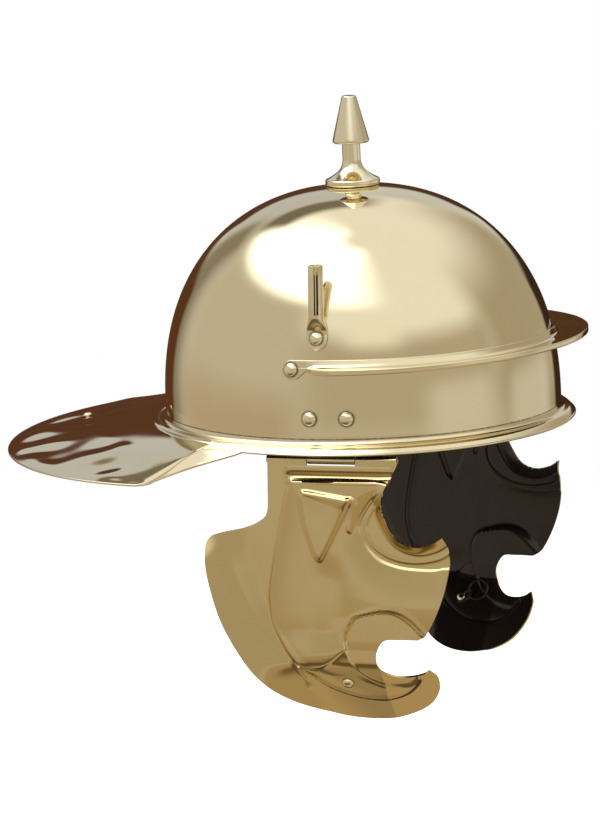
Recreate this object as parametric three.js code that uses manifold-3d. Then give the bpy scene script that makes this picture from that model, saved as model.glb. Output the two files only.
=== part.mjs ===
// A Roman legionary's brass helmet: bowl with neck guard, brow guard, crest knob,
// plume tubes and two hinged cheek guards. Millimetres, +Z up, the face looks along -Y,
// the wearer's left is +X. The origin is the middle of the bowl's mouth.
import * as THREE from 'three';
import { mergeVertices } from 'three/addons/utils/BufferGeometryUtils.js';
import Module from 'manifold-3d';

const wasm = await Module();
wasm.setup();

// Bowl
const bowlHalfLength = 112;
const bowlHalfWidth = 101.6;
const bowlHeight = 126;
const uprightWall = 5;
const domeFullness = 2.28;
const sheet = 1.2;
const gap = 0.3;
// Rim flange and neck guard
const flangeWidth = 7.3;
const flangeDrop = 3.4;
const footFillet = 3.5;
const neckHalfWidth = 143;
const neckReach = 93.5;
const neckCornerBack = 70;
const neckDrop = 15.4;
const neckCornerRadius = 5;
const neckRootBack = 27;
const neckRivetInset = 32;
// Brow guard
const browHeight = 40;
const browWebHeight = 5.2;
const browReach = 18;
const browRise = 3.6;
const browLip = 2;
const browTabRadius = 5.2;
const browTabBack = 1.2;
const browFlangeEnd = 11;
// Crest knob
const knobHeight = 48.6;
const knobBaseRadius = 15.1;
const knobConeRadius = 10.2;
const knobNeckRadius = 5;
const knobTipRadius = 4;
// Plume tubes
const tubeRadius = 4.05;
const tubeWall = 0.6;
const tubeTop = 38.8;
const seamWidth = 2.3;
const seamTurn = 17;
const tubeStart = 12;
const tubeLean = 7;
const tabRadius = 5.7;
const tabThickness = 1.5;
const tabFlat = 0.68;
const tubeForward = 14.6;
const tubeRivetHeight = 56;
// Cheek guards and their hinges
const hingeForward = 20.6;
const hingeInset = 5.1;
const hingeSideways = bowlHalfWidth - hingeInset;
const hingeBelow = 8.5;
const hingeYaw = 5;
const hingeWidth = 72;
const leafWidth = 26.4;
const leafHeight = 22;
const leafSheet = 1;
const leafClear = 0.9;
const pinRadius = 1.15;
const boreRadius = 1.5;
const knuckleRadius = 2.4;
const guardWidth = 132;
const guardHeight = 150;
const panelRise = 3.4;
const bossRise = 2.2;
const fieldRise = 1.6;
const embossSlope = 4.5;
const eyeFlare = 3.2;
const eyeFlareWidth = 9;
const rearFlare = 8;
const lowerFlare = 2.5;
const flareWidth = 26;
const jawBendStart = 110;
const jawBendSlope = 0.9;
const jawBendRound = 5;
const jawBendRear = -60;
const jawBendFront = -10;
const hookTurn = 0.38;
const hookTurnStart = 22;
const hookTurnTop = 98;
const hookTurnFull = 118;
const guardGrid = 7.4;
// Rivets and tie rings
const shankRadius = 1.5;
const tailHeight = 1;
const tailClear = 1;
const hingeRivetSpacing = 19.8;
const hingeRivetRise = 22.6;
const tieRivetForward = 1.6;
const tieRivetDown = 124;
const strapThickness = 1;
const strapWidth = 5.6;
const strapLength = 9.4;
const eyeRadius = 2.3;
const eyeWire = 0.6;
const eyeForward = 5.6;
const tieTurn = 25;
const ringRadius = 6;
const ringWire = 0.8;
// How finely round things are cut
const roundSides = 12;
const domeSteps = 10;

const rad = THREE.MathUtils.degToRad;
const lerp = THREE.MathUtils.lerp;
const smooth = (from, to, x) => THREE.MathUtils.smoothstep(x, from, to);
const point = (x, y, z) => new THREE.Vector3(x, y, z);

const brass = { color: 0xc9b583, roughness: 0.14, metalness: 1 };
const goldenBrass = { color: 0xb59a5f, roughness: 0.16, metalness: 1 };
const paleBrass = { color: 0xd6c79c, roughness: 0.18, metalness: 1 };
const lacquered = { color: 0x15130f, roughness: 0.35, metalness: 0.1 };

// Solids: closed geometry to a manifold solid and back
function toSolid(geometry, matrix = new THREE.Matrix4()) {
  const bare = geometry.clone().applyMatrix4(matrix);
  bare.deleteAttribute('normal');
  bare.deleteAttribute('uv');
  const merged = mergeVertices(bare, 1e-4);
  return new wasm.Manifold(new wasm.Mesh({
    numProp: 3,
    vertProperties: new Float32Array(merged.attributes.position.array),
    triVerts: new Uint32Array(merged.index.array),
  }));
}

function toGeometry(solid) {
  const mesh = solid.getMesh();
  const geometry = new THREE.BufferGeometry();
  geometry.setAttribute('position', new THREE.BufferAttribute(new Float32Array(mesh.vertProperties), 3));
  geometry.setIndex(new THREE.BufferAttribute(new Uint32Array(mesh.triVerts), 1));
  geometry.computeVertexNormals();
  return geometry;
}

// A closed skin through loops of equal length. A sheet's ends are closed by a strip
// between its two faces, any other end by a fan.
function loft(loops, sheetEnds = false) {
  const count = loops[0].length;
  const positions = loops.flat().flatMap((p) => [p.x, p.y, p.z]);
  const faces = [];
  for (let k = 0; k + 1 < loops.length; k += 1) {
    for (let i = 0; i < count; i += 1) {
      const a = k * count + i;
      const b = k * count + ((i + 1) % count);
      faces.push(a, b, b + count, a, b + count, a + count);
    }
  }
  for (const [k, flip] of [[0, true], [loops.length - 1, false]]) {
    const first = k * count;
    const last = first + count - 1;
    const cap = [];
    if (sheetEnds) {
      for (let i = 0; i + 1 < count / 2; i += 1) {
        cap.push([first + i, first + i + 1, last - i - 1], [first + i, last - i - 1, last - i]);
      }
    } else {
      const middle = loops[k].reduce((sum, p) => sum.add(p), point(0, 0, 0)).divideScalar(count);
      const hub = positions.length / 3;
      positions.push(middle.x, middle.y, middle.z);
      for (let i = 0; i < count; i += 1) {
        cap.push([hub, first + i, first + ((i + 1) % count)]);
      }
    }
    faces.push(...cap.flatMap(([a, b, c]) => (flip ? [a, c, b] : [a, b, c])));
  }
  const geometry = new THREE.BufferGeometry();
  geometry.setAttribute('position', new THREE.Float32BufferAttribute(positions, 3));
  geometry.setIndex(faces);
  return outward(geometry);
}

function signedVolume(geometry) {
  const p = geometry.attributes.position;
  const index = geometry.index;
  const [a, b, c] = [point(0, 0, 0), point(0, 0, 0), point(0, 0, 0)];
  let sum = 0;
  for (let i = 0; i < index.count; i += 3) {
    a.fromBufferAttribute(p, index.getX(i));
    b.fromBufferAttribute(p, index.getX(i + 1));
    c.fromBufferAttribute(p, index.getX(i + 2));
    sum += a.dot(b.cross(c));
  }
  return sum / 6;
}

function turnedOver(geometry) {
  const index = Array.from(geometry.index.array);
  for (let i = 0; i < index.length; i += 3) {
    [index[i + 1], index[i + 2]] = [index[i + 2], index[i + 1]];
  }
  geometry.setIndex(index);
  return geometry;
}

function outward(geometry) {
  return signedVolume(geometry) < 0 ? turnedOver(geometry) : geometry;
}

function mirrored(geometry) {
  return turnedOver(geometry.clone().applyMatrix4(new THREE.Matrix4().makeScale(-1, 1, 1)));
}

// A rod along a line, as a solid that cuts or joins
function rod(from, to, radius, sides = roundSides) {
  const along = to.clone().sub(from);
  const matrix = new THREE.Matrix4().compose(
    from.clone().add(to).multiplyScalar(0.5),
    new THREE.Quaternion().setFromUnitVectors(point(0, 1, 0), along.clone().normalize()),
    point(1, 1, 1),
  );
  return toSolid(new THREE.CylinderGeometry(radius, radius, along.length(), sides), matrix);
}

// The bowl's shape. share() is the part of the foot's outline left at a height.
function share(z, inset = 0) {
  const rise = Math.max(0, (z - uprightWall) / (bowlHeight - inset - uprightWall));
  return Math.max(0, 1 - Math.min(1, rise) ** domeFullness) ** (1 / domeFullness);
}

function footRadius(angle, inset = 0) {
  const a = bowlHalfLength - inset;
  const b = bowlHalfWidth - inset;
  return 1 / Math.hypot(Math.cos(angle) / b, Math.sin(angle) / a);
}

// A spot on the outside of the bowl, from its distance forward and its height
function bowlSpot(side, forward, z) {
  const left = share(z) ** 2 - (forward / bowlHalfLength) ** 2;
  return point(side * bowlHalfWidth * Math.sqrt(Math.max(0, left)), -forward, z);
}

function bowlNormal(spot) {
  const step = 0.5;
  const slope = (share(spot.z + step) ** 2 - share(spot.z - step) ** 2) / (2 * step);
  return point(
    (2 * spot.x) / bowlHalfWidth ** 2,
    (2 * spot.y) / bowlHalfLength ** 2,
    -slope,
  ).normalize();
}

// The outer edge of the flange and neck guard, from the middle of the brow round to the nape
function edgeOutline() {
  const a = bowlHalfLength + flangeWidth;
  const b = bowlHalfWidth + flangeWidth;
  const rearLength = bowlHalfLength + neckReach - neckCornerBack;
  const rootAngle = Math.asin(neckRootBack / a);
  const root = new THREE.Vector2(b * Math.cos(rootAngle), neckRootBack);
  const corner = new THREE.Vector2(neckHalfWidth, neckCornerBack);
  const frontSteps = 9;
  const sideSteps = 4;
  const rearSteps = 7;
  const points = [];
  for (let i = 0; i < frontSteps; i += 1) {
    const angle = lerp(-Math.PI / 2, rootAngle, i / frontSteps);
    points.push({ x: b * Math.cos(angle), y: a * Math.sin(angle), z: -flangeDrop });
  }
  const bend = new THREE.Vector2(root.x + 4.5, lerp(root.y, corner.y, 0.65));
  const cornerStart = corner.clone().lerp(bend, neckCornerRadius / corner.distanceTo(bend));
  const side = new THREE.QuadraticBezierCurve(root, bend, cornerStart);
  for (let i = 0; i < sideSteps; i += 1) {
    const spot = side.getPoint(i / sideSteps);
    points.push({ x: spot.x, y: spot.y, z: -lerp(flangeDrop, neckDrop, (i / sideSteps) ** 0.8) });
  }
  const turn = new THREE.QuadraticBezierCurve(
    cornerStart,
    corner,
    new THREE.Vector2(neckHalfWidth - 0.3, neckCornerBack + neckCornerRadius),
  );
  for (let i = 0; i < 2; i += 1) {
    const spot = turn.getPoint(i / 2);
    points.push({ x: spot.x, y: spot.y, z: -neckDrop });
  }
  const firstAngle = Math.asin(neckCornerRadius / rearLength);
  for (let i = 0; i <= rearSteps; i += 1) {
    const angle = lerp(firstAngle, Math.PI / 2, i / rearSteps);
    const x = neckHalfWidth * Math.cos(angle);
    points.push({ x, y: neckCornerBack + rearLength * Math.sin(angle), z: -neckDrop });
  }
  const other = points.slice(1, -1).reverse().map((p) => ({ x: -p.x, y: p.y, z: p.z }));
  return [...points, ...other];
}

// Height of the neck guard's upper face over a spot behind the bowl
function neckTop(y) {
  const part = (y - bowlHalfLength) / neckReach;
  return -neckDrop * Math.max(0, part);
}

function bowlShell() {
  const edge = edgeOutline().map((p) => ({ ...p, angle: Math.atan2(p.y, p.x) }));
  const ring = (place) => edge.map(place);
  const wallRing = (t, inset) => ring((p) => {
    const z = uprightWall + (bowlHeight - inset - uprightWall) * Math.sin(t) ** (2 / domeFullness);
    const reach = footRadius(p.angle, inset) * Math.cos(t) ** (2 / domeFullness);
    return point(reach * Math.cos(p.angle), reach * Math.sin(p.angle), z);
  });
  const flat = (out, z, inset = 0) => ring((p) => {
    const reach = footRadius(p.angle, inset) + out;
    return point(reach * Math.cos(p.angle), reach * Math.sin(p.angle), z);
  });
  const between = (part, thickness) => ring((p) => {
    const root = footRadius(p.angle) + footFillet;
    const reach = lerp(root, Math.hypot(p.x, p.y), part);
    const z = lerp(-gap, p.z, part) - thickness;
    return point(reach * Math.cos(p.angle), reach * Math.sin(p.angle), z);
  });
  const tight = Math.PI / 2 - 0.06;
  const loops = [];
  for (let i = 0; i <= domeSteps; i += 1) {
    loops.push(wallRing(lerp(tight, 0, i / domeSteps), 0));
  }
  loops.push(flat(footFillet * 0.3, footFillet * 0.3));
  loops.push(between(0, 0), between(0.5, 0), between(1, 0));
  loops.push(between(1, sheet), between(0.5, sheet), between(0, sheet));
  loops.push(flat(footFillet * 0.3, -sheet * 0.5, sheet));
  for (let i = 1; i <= domeSteps; i += 1) {
    loops.push(wallRing(lerp(0, tight, i / domeSteps), sheet));
  }
  return loft(loops);
}

// Rivet holes and their rivets share these spots
function spotOn(side, forward, z) {
  const spot = bowlSpot(side, forward, z);
  return { spot, normal: bowlNormal(spot) };
}

const neckRivetY = bowlHalfLength + neckReach - neckRivetInset;
const neckSpot = {
  spot: point(0, neckRivetY, neckTop(neckRivetY)),
  normal: point(0, neckDrop, neckReach).normalize(),
};
const browSpot = (side) => spotOn(side, browTabBack, browHeight);
const tubeSpot = (side) => spotOn(side, tubeForward, tubeRivetHeight);
const hingeSpots = (side) => [-0.5, 0.5].map((part) => (
  spotOn(side, hingeForward + part * hingeRivetSpacing, hingeRivetRise - hingeBelow)
));

function drill(spot, reach = 8) {
  const far = spot.normal.clone().multiplyScalar(reach);
  return rod(spot.spot.clone().sub(far), spot.spot.clone().add(far), shankRadius + gap, 8);
}

function bowl() {
  const spots = [neckSpot];
  for (const side of [-1, 1]) {
    spots.push(browSpot(side), tubeSpot(side), ...hingeSpots(side));
  }
  let solid = toSolid(bowlShell());
  for (const spot of spots) {
    solid = solid.subtract(drill(spot));
  }
  return toGeometry(solid);
}

// The brow guard: an upright web on the bowl, a flange that reaches forward and a turned-down lip
function browGuard() {
  const tabEnd = -browTabBack + browTabRadius * 0.93;
  const stations = [];
  const endAngle = (back) => Math.acos(-back / (bowlHalfLength * share(browHeight)));
  const tabSteps = 5;
  const flangeSteps = 9;
  for (let i = 0; i < tabSteps; i += 1) {
    stations.push(endAngle(lerp(tabEnd, -browFlangeEnd, i / tabSteps)));
  }
  for (let i = 0; i <= flangeSteps; i += 1) {
    stations.push(lerp(endAngle(-browFlangeEnd), 0, i / flangeSteps));
  }
  const angles = [...stations, ...stations.slice(0, -1).reverse().map((angle) => -angle)];
  const section = (angle) => {
    const back = -bowlHalfLength * share(browHeight) * Math.cos(angle);
    const fromRivet = Math.max(0, back + browTabBack);
    const round = Math.sqrt(Math.max(0, browTabRadius ** 2 - fromRivet ** 2));
    const tab = smooth(-browFlangeEnd, -browTabBack - 1, back);
    const top = browHeight + lerp(browWebHeight, round, tab);
    const bottom = browHeight - lerp(0, round, tab);
    const started = Math.sqrt(THREE.MathUtils.clamp((-browFlangeEnd - back) / 12, 0, 1));
    const out = 0.06 + browReach * started * Math.max(0, Math.cos(0.8 * angle)) ** 1.14;
    const rise = browRise * Math.max(0, Math.cos(angle)) * Math.min(1, out / browReach);
    const lip = 0.02 + browLip * Math.min(1, out / 4);
    const lipSheet = Math.min(sheet, out * 0.6);
    const root = Math.min(top - 0.4, browHeight + sheet);
    const place = (outside, z) => {
      const s = share(z);
      const x = bowlHalfWidth * s * Math.sin(angle);
      const y = -bowlHalfLength * s * Math.cos(angle);
      const normal = new THREE.Vector2(x / bowlHalfWidth ** 2, y / bowlHalfLength ** 2).normalize();
      return point(x + normal.x * outside, y + normal.y * outside, z);
    };
    const stand = gap + sheet;
    const onWeb = (outside, z) => {
      const spot = place(outside, browHeight);
      spot.z = z;
      return spot;
    };
    return [
      place(gap, bottom),
      place(gap, top),
      place(stand, top),
      place(stand, root),
      onWeb(stand + out, root + rise),
      onWeb(stand + out, browHeight + rise - lip),
      onWeb(stand + out - lipSheet, browHeight + rise - lip),
      onWeb(stand + out - lipSheet, browHeight + rise - 0.01),
      place(stand, Math.min(browHeight, root - 0.3)),
      place(stand, bottom - 0.02),
    ];
  };
  let solid = toSolid(loft(angles.map(section)));
  for (const side of [-1, 1]) {
    solid = solid.subtract(drill(browSpot(side)));
  }
  return toGeometry(solid);
}

// The crest knob, turned from bar. Heights are shares of the knob's own height.
function crestKnob() {
  const profile = [
    { radius: 0, height: 0.004 },
    { radius: knobBaseRadius * 0.96, height: -0.005 },
    { radius: knobBaseRadius, height: 0 },
    { radius: knobBaseRadius, height: 0.058 },
    { radius: knobBaseRadius * 0.97, height: 0.066 },
    { radius: knobBaseRadius * 0.74, height: 0.1 },
    { radius: lerp(knobNeckRadius, knobBaseRadius, 0.3), height: 0.155 },
    { radius: lerp(knobNeckRadius, knobBaseRadius, 0.12), height: 0.215 },
    { radius: knobNeckRadius, height: 0.29 },
    { radius: knobNeckRadius, height: 0.458 },
    { radius: knobConeRadius * 0.94, height: 0.461 },
    { radius: knobConeRadius, height: 0.474 },
    { radius: knobConeRadius * 0.99, height: 0.505 },
    { radius: knobTipRadius, height: 0.982 },
    { radius: knobTipRadius * 0.9, height: 1 },
    { radius: 0, height: 1 },
  ];
  const points = profile.map((p) => new THREE.Vector2(p.radius, p.height * knobHeight));
  return new THREE.LatheGeometry(points, 18).rotateX(Math.PI / 2);
}

// A domed rivet through a grip, its head outward along +Z and its end clenched below
function rivet(headRadius, headHeight, grip) {
  const tailRadius = Math.max(shankRadius * 1.5, headRadius * 0.68);
  const tailTop = -grip - tailClear;
  const points = [
    new THREE.Vector2(0, tailTop - tailHeight),
    new THREE.Vector2(tailRadius * 0.8, tailTop - tailHeight),
    new THREE.Vector2(tailRadius, tailTop),
    new THREE.Vector2(shankRadius, tailTop),
    new THREE.Vector2(shankRadius, gap),
    new THREE.Vector2(headRadius, gap),
  ];
  const domeRings = 2;
  for (let i = 1; i <= domeRings; i += 1) {
    const t = (i / domeRings) * Math.PI / 2;
    const radius = i === domeRings ? 0 : headRadius * Math.cos(t);
    points.push(new THREE.Vector2(radius, gap + headHeight * Math.sin(t)));
  }
  return new THREE.LatheGeometry(points, 8).rotateX(Math.PI / 2);
}

// A plume tube, in a frame whose origin is its rivet's spot on the bowl, -X outward
function plumeTube() {
  const lean = Math.tan(rad(tubeLean));
  const { normal } = tubeSpot(-1);
  const bowlLean = normal.z / Math.hypot(normal.x, normal.y);
  const tabMiddle = (gap + tabThickness / 2) * Math.hypot(1, bowlLean);
  const tubeAxis = bowlLean * -tubeStart * 1.12 + (gap + tubeRadius) * Math.hypot(1, bowlLean);
  const loops = [];
  const section = (height, halfWidth, halfDepth, out) => {
    const loop = [];
    for (let i = 0; i < roundSides; i += 1) {
      const angle = (2 * Math.PI * i) / roundSides;
      loop.push(point(-out - halfDepth * Math.cos(angle), halfWidth * Math.sin(angle), height));
    }
    return loop;
  };
  for (const part of [-0.96, -0.75, -0.4, 0, tabFlat]) {
    const height = tabRadius * part;
    const halfWidth = tabRadius * Math.sqrt(1 - Math.min(0, part) ** 2);
    loops.push(section(height, halfWidth, tabThickness / 2, tabMiddle - height * bowlLean));
  }
  const flatTop = tabRadius * tabFlat;
  for (const part of [0.4, 0.75, 1]) {
    const height = lerp(flatTop, tubeStart, part);
    const round = smooth(0, 1, part);
    const out = lerp(tabMiddle - flatTop * bowlLean, tubeAxis, part);
    loops.push(section(
      height,
      lerp(tabRadius, tubeRadius, round),
      lerp(tabThickness / 2, tubeRadius, round),
      out,
    ));
  }
  const topOut = tubeAxis - (tubeTop - tubeStart) * lean;
  loops.push(section(tubeTop, tubeRadius, tubeRadius, topOut));
  const bore = rod(
    point(-tubeAxis - lean, 0, tubeStart + 1),
    point(-topOut + lean, 0, tubeTop + 1),
    tubeRadius - tubeWall,
  );
  // the rolled sheet doesn't quite close: an open seam, a little to the front
  const facing = rad(seamTurn);
  const slot = (height, out) => [[2, -1], [2, 1], [0, 1], [0, -1]].map(([away, aside]) => point(
    -out - away * tubeRadius * Math.cos(facing) - (aside * seamWidth * Math.sin(facing)) / 2,
    -away * tubeRadius * Math.sin(facing) + (aside * seamWidth * Math.cos(facing)) / 2,
    height,
  ));
  const seam = toSolid(loft([slot(tubeStart + 1.5, tubeAxis - lean * 1.5), slot(tubeTop + 1, topOut - lean)]));
  const { spot } = tubeSpot(-1);
  const local = { spot: point(0, 0, 0), normal: normal.clone() };
  local.normal.y = 0;
  const turn = Math.atan2(normal.y, -normal.x);
  const solid = toSolid(loft(loops)).subtract(bore).subtract(seam).subtract(drill(local));
  return { geometry: toGeometry(solid), spot, turn };
}

// Cheek guard tables: places are shares of the guard's width and height,
// forward of the hinge's middle and down from its pin
const guardCorners = [
  { name: 'frontSide', forward: 0.277, down: 0 },
  { name: 'frontSide', forward: 0.272, down: 0.02 },
  { name: 'frontSide', forward: 0.224, down: 0.1 },
  { name: 'frontSide', forward: 0.212, down: 0.165 },
  { name: 'frontSide', forward: 0.238, down: 0.23 },
  { name: 'frontSide', forward: 0.282, down: 0.281 },
  { name: 'frontSide', forward: 0.348, down: 0.3 },
  { name: 'frontSide', forward: 0.415, down: 0.287 },
  { name: 'frontSide', forward: 0.461, down: 0.262 },
  { name: 'cheek', forward: 0.461, down: 0.262 },
  { name: 'cheek', forward: 0.479, down: 0.35 },
  { name: 'cheek', forward: 0.46, down: 0.45 },
  { name: 'cheek', forward: 0.42, down: 0.545 },
  { name: 'cheek', forward: 0.372, down: 0.621 },
  { name: 'cheek', forward: 0.335, down: 0.644 },
  { name: 'mouth', forward: 0.335, down: 0.644 },
  { name: 'mouth', forward: 0.25, down: 0.646 },
  { name: 'mouth', forward: 0.19, down: 0.653 },
  { name: 'mouth', forward: 0.154, down: 0.7 },
  { name: 'mouth', forward: 0.158, down: 0.75 },
  { name: 'mouth', forward: 0.192, down: 0.786 },
  { name: 'mouth', forward: 0.25, down: 0.802 },
  { name: 'mouth', forward: 0.318, down: 0.794 },
  { name: 'mouth', forward: 0.356, down: 0.775 },
  { name: 'jaw', forward: 0.356, down: 0.775 },
  { name: 'jaw', forward: 0.379, down: 0.812 },
  { name: 'jaw', forward: 0.368, down: 0.87 },
  { name: 'jaw', forward: 0.315, down: 0.935 },
  { name: 'jaw', forward: 0.22, down: 0.98 },
  { name: 'jaw', forward: 0.09, down: 1 },
  { name: 'jaw', forward: -0.05, down: 0.985 },
  { name: 'jaw', forward: -0.175, down: 0.93 },
  { name: 'jaw', forward: -0.308, down: 0.828 },
  { name: 'jaw', forward: -0.406, down: 0.718 },
  { name: 'jaw', forward: -0.484, down: 0.588 },
  { name: 'jaw', forward: -0.527, down: 0.45 },
  { name: 'jaw', forward: -0.541, down: 0.337 },
  { name: 'jaw', forward: -0.53, down: 0.29 },
  { name: 'jaw', forward: -0.486, down: 0.27 },
  { name: 'jaw', forward: -0.38, down: 0.251 },
  { name: 'jaw', forward: -0.314, down: 0.225 },
  { name: 'jaw', forward: -0.28, down: 0.19 },
  { name: 'jaw', forward: -0.272, down: 0.1 },
  { name: 'jaw', forward: -0.268, down: 0 },
];
const panelCorners = [
  { forward: -0.17, down: 0.098 },
  { forward: -0.21, down: 0.2 },
  { forward: -0.256, down: 0.37 },
  { forward: -0.254, down: 0.48 },
  { forward: -0.17, down: 0.655 },
  { forward: -0.127, down: 0.7 },
  { forward: -0.07, down: 0.71 },
  { forward: 0.03, down: 0.668 },
  { forward: 0.022, down: 0.6 },
  { forward: 0.05, down: 0.566 },
  { forward: 0.127, down: 0.545 },
  { forward: 0.24, down: 0.542 },
  { forward: 0.37, down: 0.622 },
  { forward: 0.56, down: 0.6 },
  { forward: 0.56, down: 0.4 },
  { forward: 0.436, down: 0.385 },
  { forward: 0.31, down: 0.4 },
  { forward: 0.207, down: 0.38 },
  { forward: 0.14, down: 0.352 },
  { forward: 0.094, down: 0.3 },
  { forward: 0.1, down: 0.212 },
  { forward: 0.155, down: 0.14 },
  { forward: 0.24, down: 0.09 },
];
const bossCorners = [
  { forward: -0.125, down: 0.133 },
  { forward: 0.073, down: 0.14 },
  { forward: -0.043, down: 0.335 },
];
const fieldCorners = [
  { forward: -0.143, down: 0.78 },
  { forward: -0.077, down: 0.768 },
  { forward: 0.001, down: 0.727 },
  { forward: 0.027, down: 0.727 },
  { forward: 0.06, down: 0.771 },
  { forward: 0.105, down: 0.817 },
  { forward: 0.177, down: 0.843 },
  { forward: 0.278, down: 0.833 },
  { forward: 0.264, down: 0.863 },
  { forward: 0.211, down: 0.895 },
  { forward: 0.152, down: 0.907 },
  { forward: 0.076, down: 0.905 },
  { forward: -0.003, down: 0.885 },
  { forward: -0.077, down: 0.85 },
];

const sized = (p) => new THREE.Vector2(p.forward * guardWidth, p.down * guardHeight);

function stretch(name) {
  const spots = guardCorners.filter((p) => p.name === name).map(sized);
  return new THREE.SplineCurve(spots).getPoints(Math.round(spots.length * 1.2));
}

const eyeEdge = stretch('frontSide');
const jawEdge = stretch('jaw');
const guardOutline = [...eyeEdge, ...stretch('cheek').slice(1), ...stretch('mouth').slice(1), ...jawEdge.slice(1)];
const panelOutline = panelCorners.map(sized);
const bossOutline = bossCorners.map(sized);
const fieldOutline = fieldCorners.map(sized);

function distanceToLine(spot, line, closed = false) {
  let best = Infinity;
  const last = closed ? line.length : line.length - 1;
  for (let i = 0; i < last; i += 1) {
    const a = line[i];
    const along = line[(i + 1) % line.length].clone().sub(a);
    const part = THREE.MathUtils.clamp(spot.clone().sub(a).dot(along) / along.lengthSq(), 0, 1);
    best = Math.min(best, spot.distanceTo(a.clone().addScaledVector(along, part)));
  }
  return best;
}

function inside(spot, outline) {
  let odd = false;
  for (let i = 0; i < outline.length; i += 1) {
    const a = outline[i];
    const b = outline[(i + 1) % outline.length];
    const crosses = (a.y > spot.y) !== (b.y > spot.y);
    if (crosses && spot.x < a.x + ((spot.y - a.y) * (b.x - a.x)) / (b.y - a.y)) odd = !odd;
  }
  return odd;
}

function raised(spot, outline, rise) {
  const away = distanceToLine(spot, outline, true) * (inside(spot, outline) ? 1 : -1);
  return rise * smooth(-embossSlope / 2, embossSlope / 2, away);
}

// How far the guard's outer face stands out from the hinge pin
function guardFace(forward, down) {
  const spot = new THREE.Vector2(forward, down);
  const past = Math.max(0, down - jawBendStart);
  const bend = jawBendSlope * (Math.hypot(past, jawBendRound) - jawBendRound);
  let face = knuckleRadius - bend * smooth(jawBendRear, jawBendFront, forward);
  face -= hookTurn * Math.max(0, forward - hookTurnStart) * smooth(hookTurnTop, hookTurnFull, down);
  const eye = Math.max(0, 1 - distanceToLine(spot, eyeEdge) / eyeFlareWidth);
  face += eyeFlare * eye ** 2 * smooth(8, 20, down);
  const rim = Math.max(0, 1 - distanceToLine(spot, jawEdge) / flareWidth);
  const lift = lerp(lowerFlare, rearFlare, smooth(20, -45, forward));
  face += lift * rim ** 1.4 * smooth(35, 60, down);
  face += raised(spot, panelOutline, panelRise);
  face += raised(spot, bossOutline, bossRise);
  face += raised(spot, fieldOutline, fieldRise);
  return face;
}

const guardPoint = (forward, down, inset = 0) => (
  point(inset - guardFace(forward, down), -forward, -down)
);

// A sheet that follows a face, cut to the guard's outline
function guardSheet() {
  const box = new THREE.Box2().setFromPoints(guardOutline).expandByScalar(2);
  box.min.y = 0;
  const columns = Math.ceil((box.max.x - box.min.x) / guardGrid);
  const rows = Math.ceil((box.max.y - box.min.y) / guardGrid);
  const loops = [];
  for (let k = 0; k <= rows; k += 1) {
    const down = lerp(box.min.y, box.max.y, k / rows);
    const outer = [];
    const inner = [];
    for (let i = 0; i <= columns; i += 1) {
      const forward = lerp(box.min.x, box.max.x, i / columns);
      outer.push(guardPoint(forward, down));
      inner.unshift(guardPoint(forward, down, sheet));
    }
    loops.push([...outer, ...inner]);
  }
  const outline = new THREE.Shape(guardOutline.map((p) => new THREE.Vector2(p.x, p.y)));
  const cutter = new THREE.ExtrudeGeometry(outline, { depth: 200, bevelEnabled: false });
  const upright = new THREE.Matrix4().makeBasis(point(0, -1, 0), point(0, 0, -1), point(1, 0, 0));
  upright.setPosition(-100, 0, 0);
  return toSolid(loft(loops, true)).intersect(toSolid(outward(indexed(cutter)), upright));
}

function indexed(geometry) {
  const bare = geometry.clone();
  bare.deleteAttribute('normal');
  bare.deleteAttribute('uv');
  return mergeVertices(bare, 1e-4);
}

const onPin = (forward) => point(0, -forward, 0);

function tieFrame() {
  const step = 1;
  const middle = guardPoint(tieRivetForward, tieRivetDown);
  const forward = guardPoint(tieRivetForward + step, tieRivetDown).sub(middle).normalize();
  const down = guardPoint(tieRivetForward, tieRivetDown + step).sub(middle).normalize();
  const normal = forward.clone().cross(down).normalize();
  if (normal.x > 0) normal.negate();
  return { spot: middle, normal, forward };
}

function cheekGuard() {
  const middleClear = leafWidth / 2 + gap;
  const half = hingeWidth / 2;
  const notch = new THREE.BoxGeometry(20, 2 * middleClear, 2 * (knuckleRadius + 2 * gap));
  const reach = half + 5;
  const solid = guardSheet()
    .add(rod(onPin(-half), onPin(half), knuckleRadius))
    .subtract(toSolid(notch))
    .subtract(rod(onPin(-reach), onPin(reach), boreRadius))
    .subtract(drill(tieFrame()));
  return toGeometry(solid);
}

// Where the bowl's inner wall lies, seen from a hinge's own frame
function wallFromHinge(y, z) {
  const turn = rad(hingeYaw);
  const height = Math.max(z - hingeBelow, 1);
  const a = bowlHalfLength - sheet;
  const b = bowlHalfWidth - sheet;
  const baseX = -hingeSideways - y * Math.sin(turn);
  const baseY = -hingeForward + y * Math.cos(turn);
  const p = (Math.cos(turn) / b) ** 2 + (Math.sin(turn) / a) ** 2;
  const q = (2 * baseX * Math.cos(turn)) / b ** 2 + (2 * baseY * Math.sin(turn)) / a ** 2;
  const r = (baseX / b) ** 2 + (baseY / a) ** 2 - share(height, sheet) ** 2;
  return (-q - Math.sqrt(Math.max(0, q * q - 4 * p * r))) / (2 * p);
}

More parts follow.
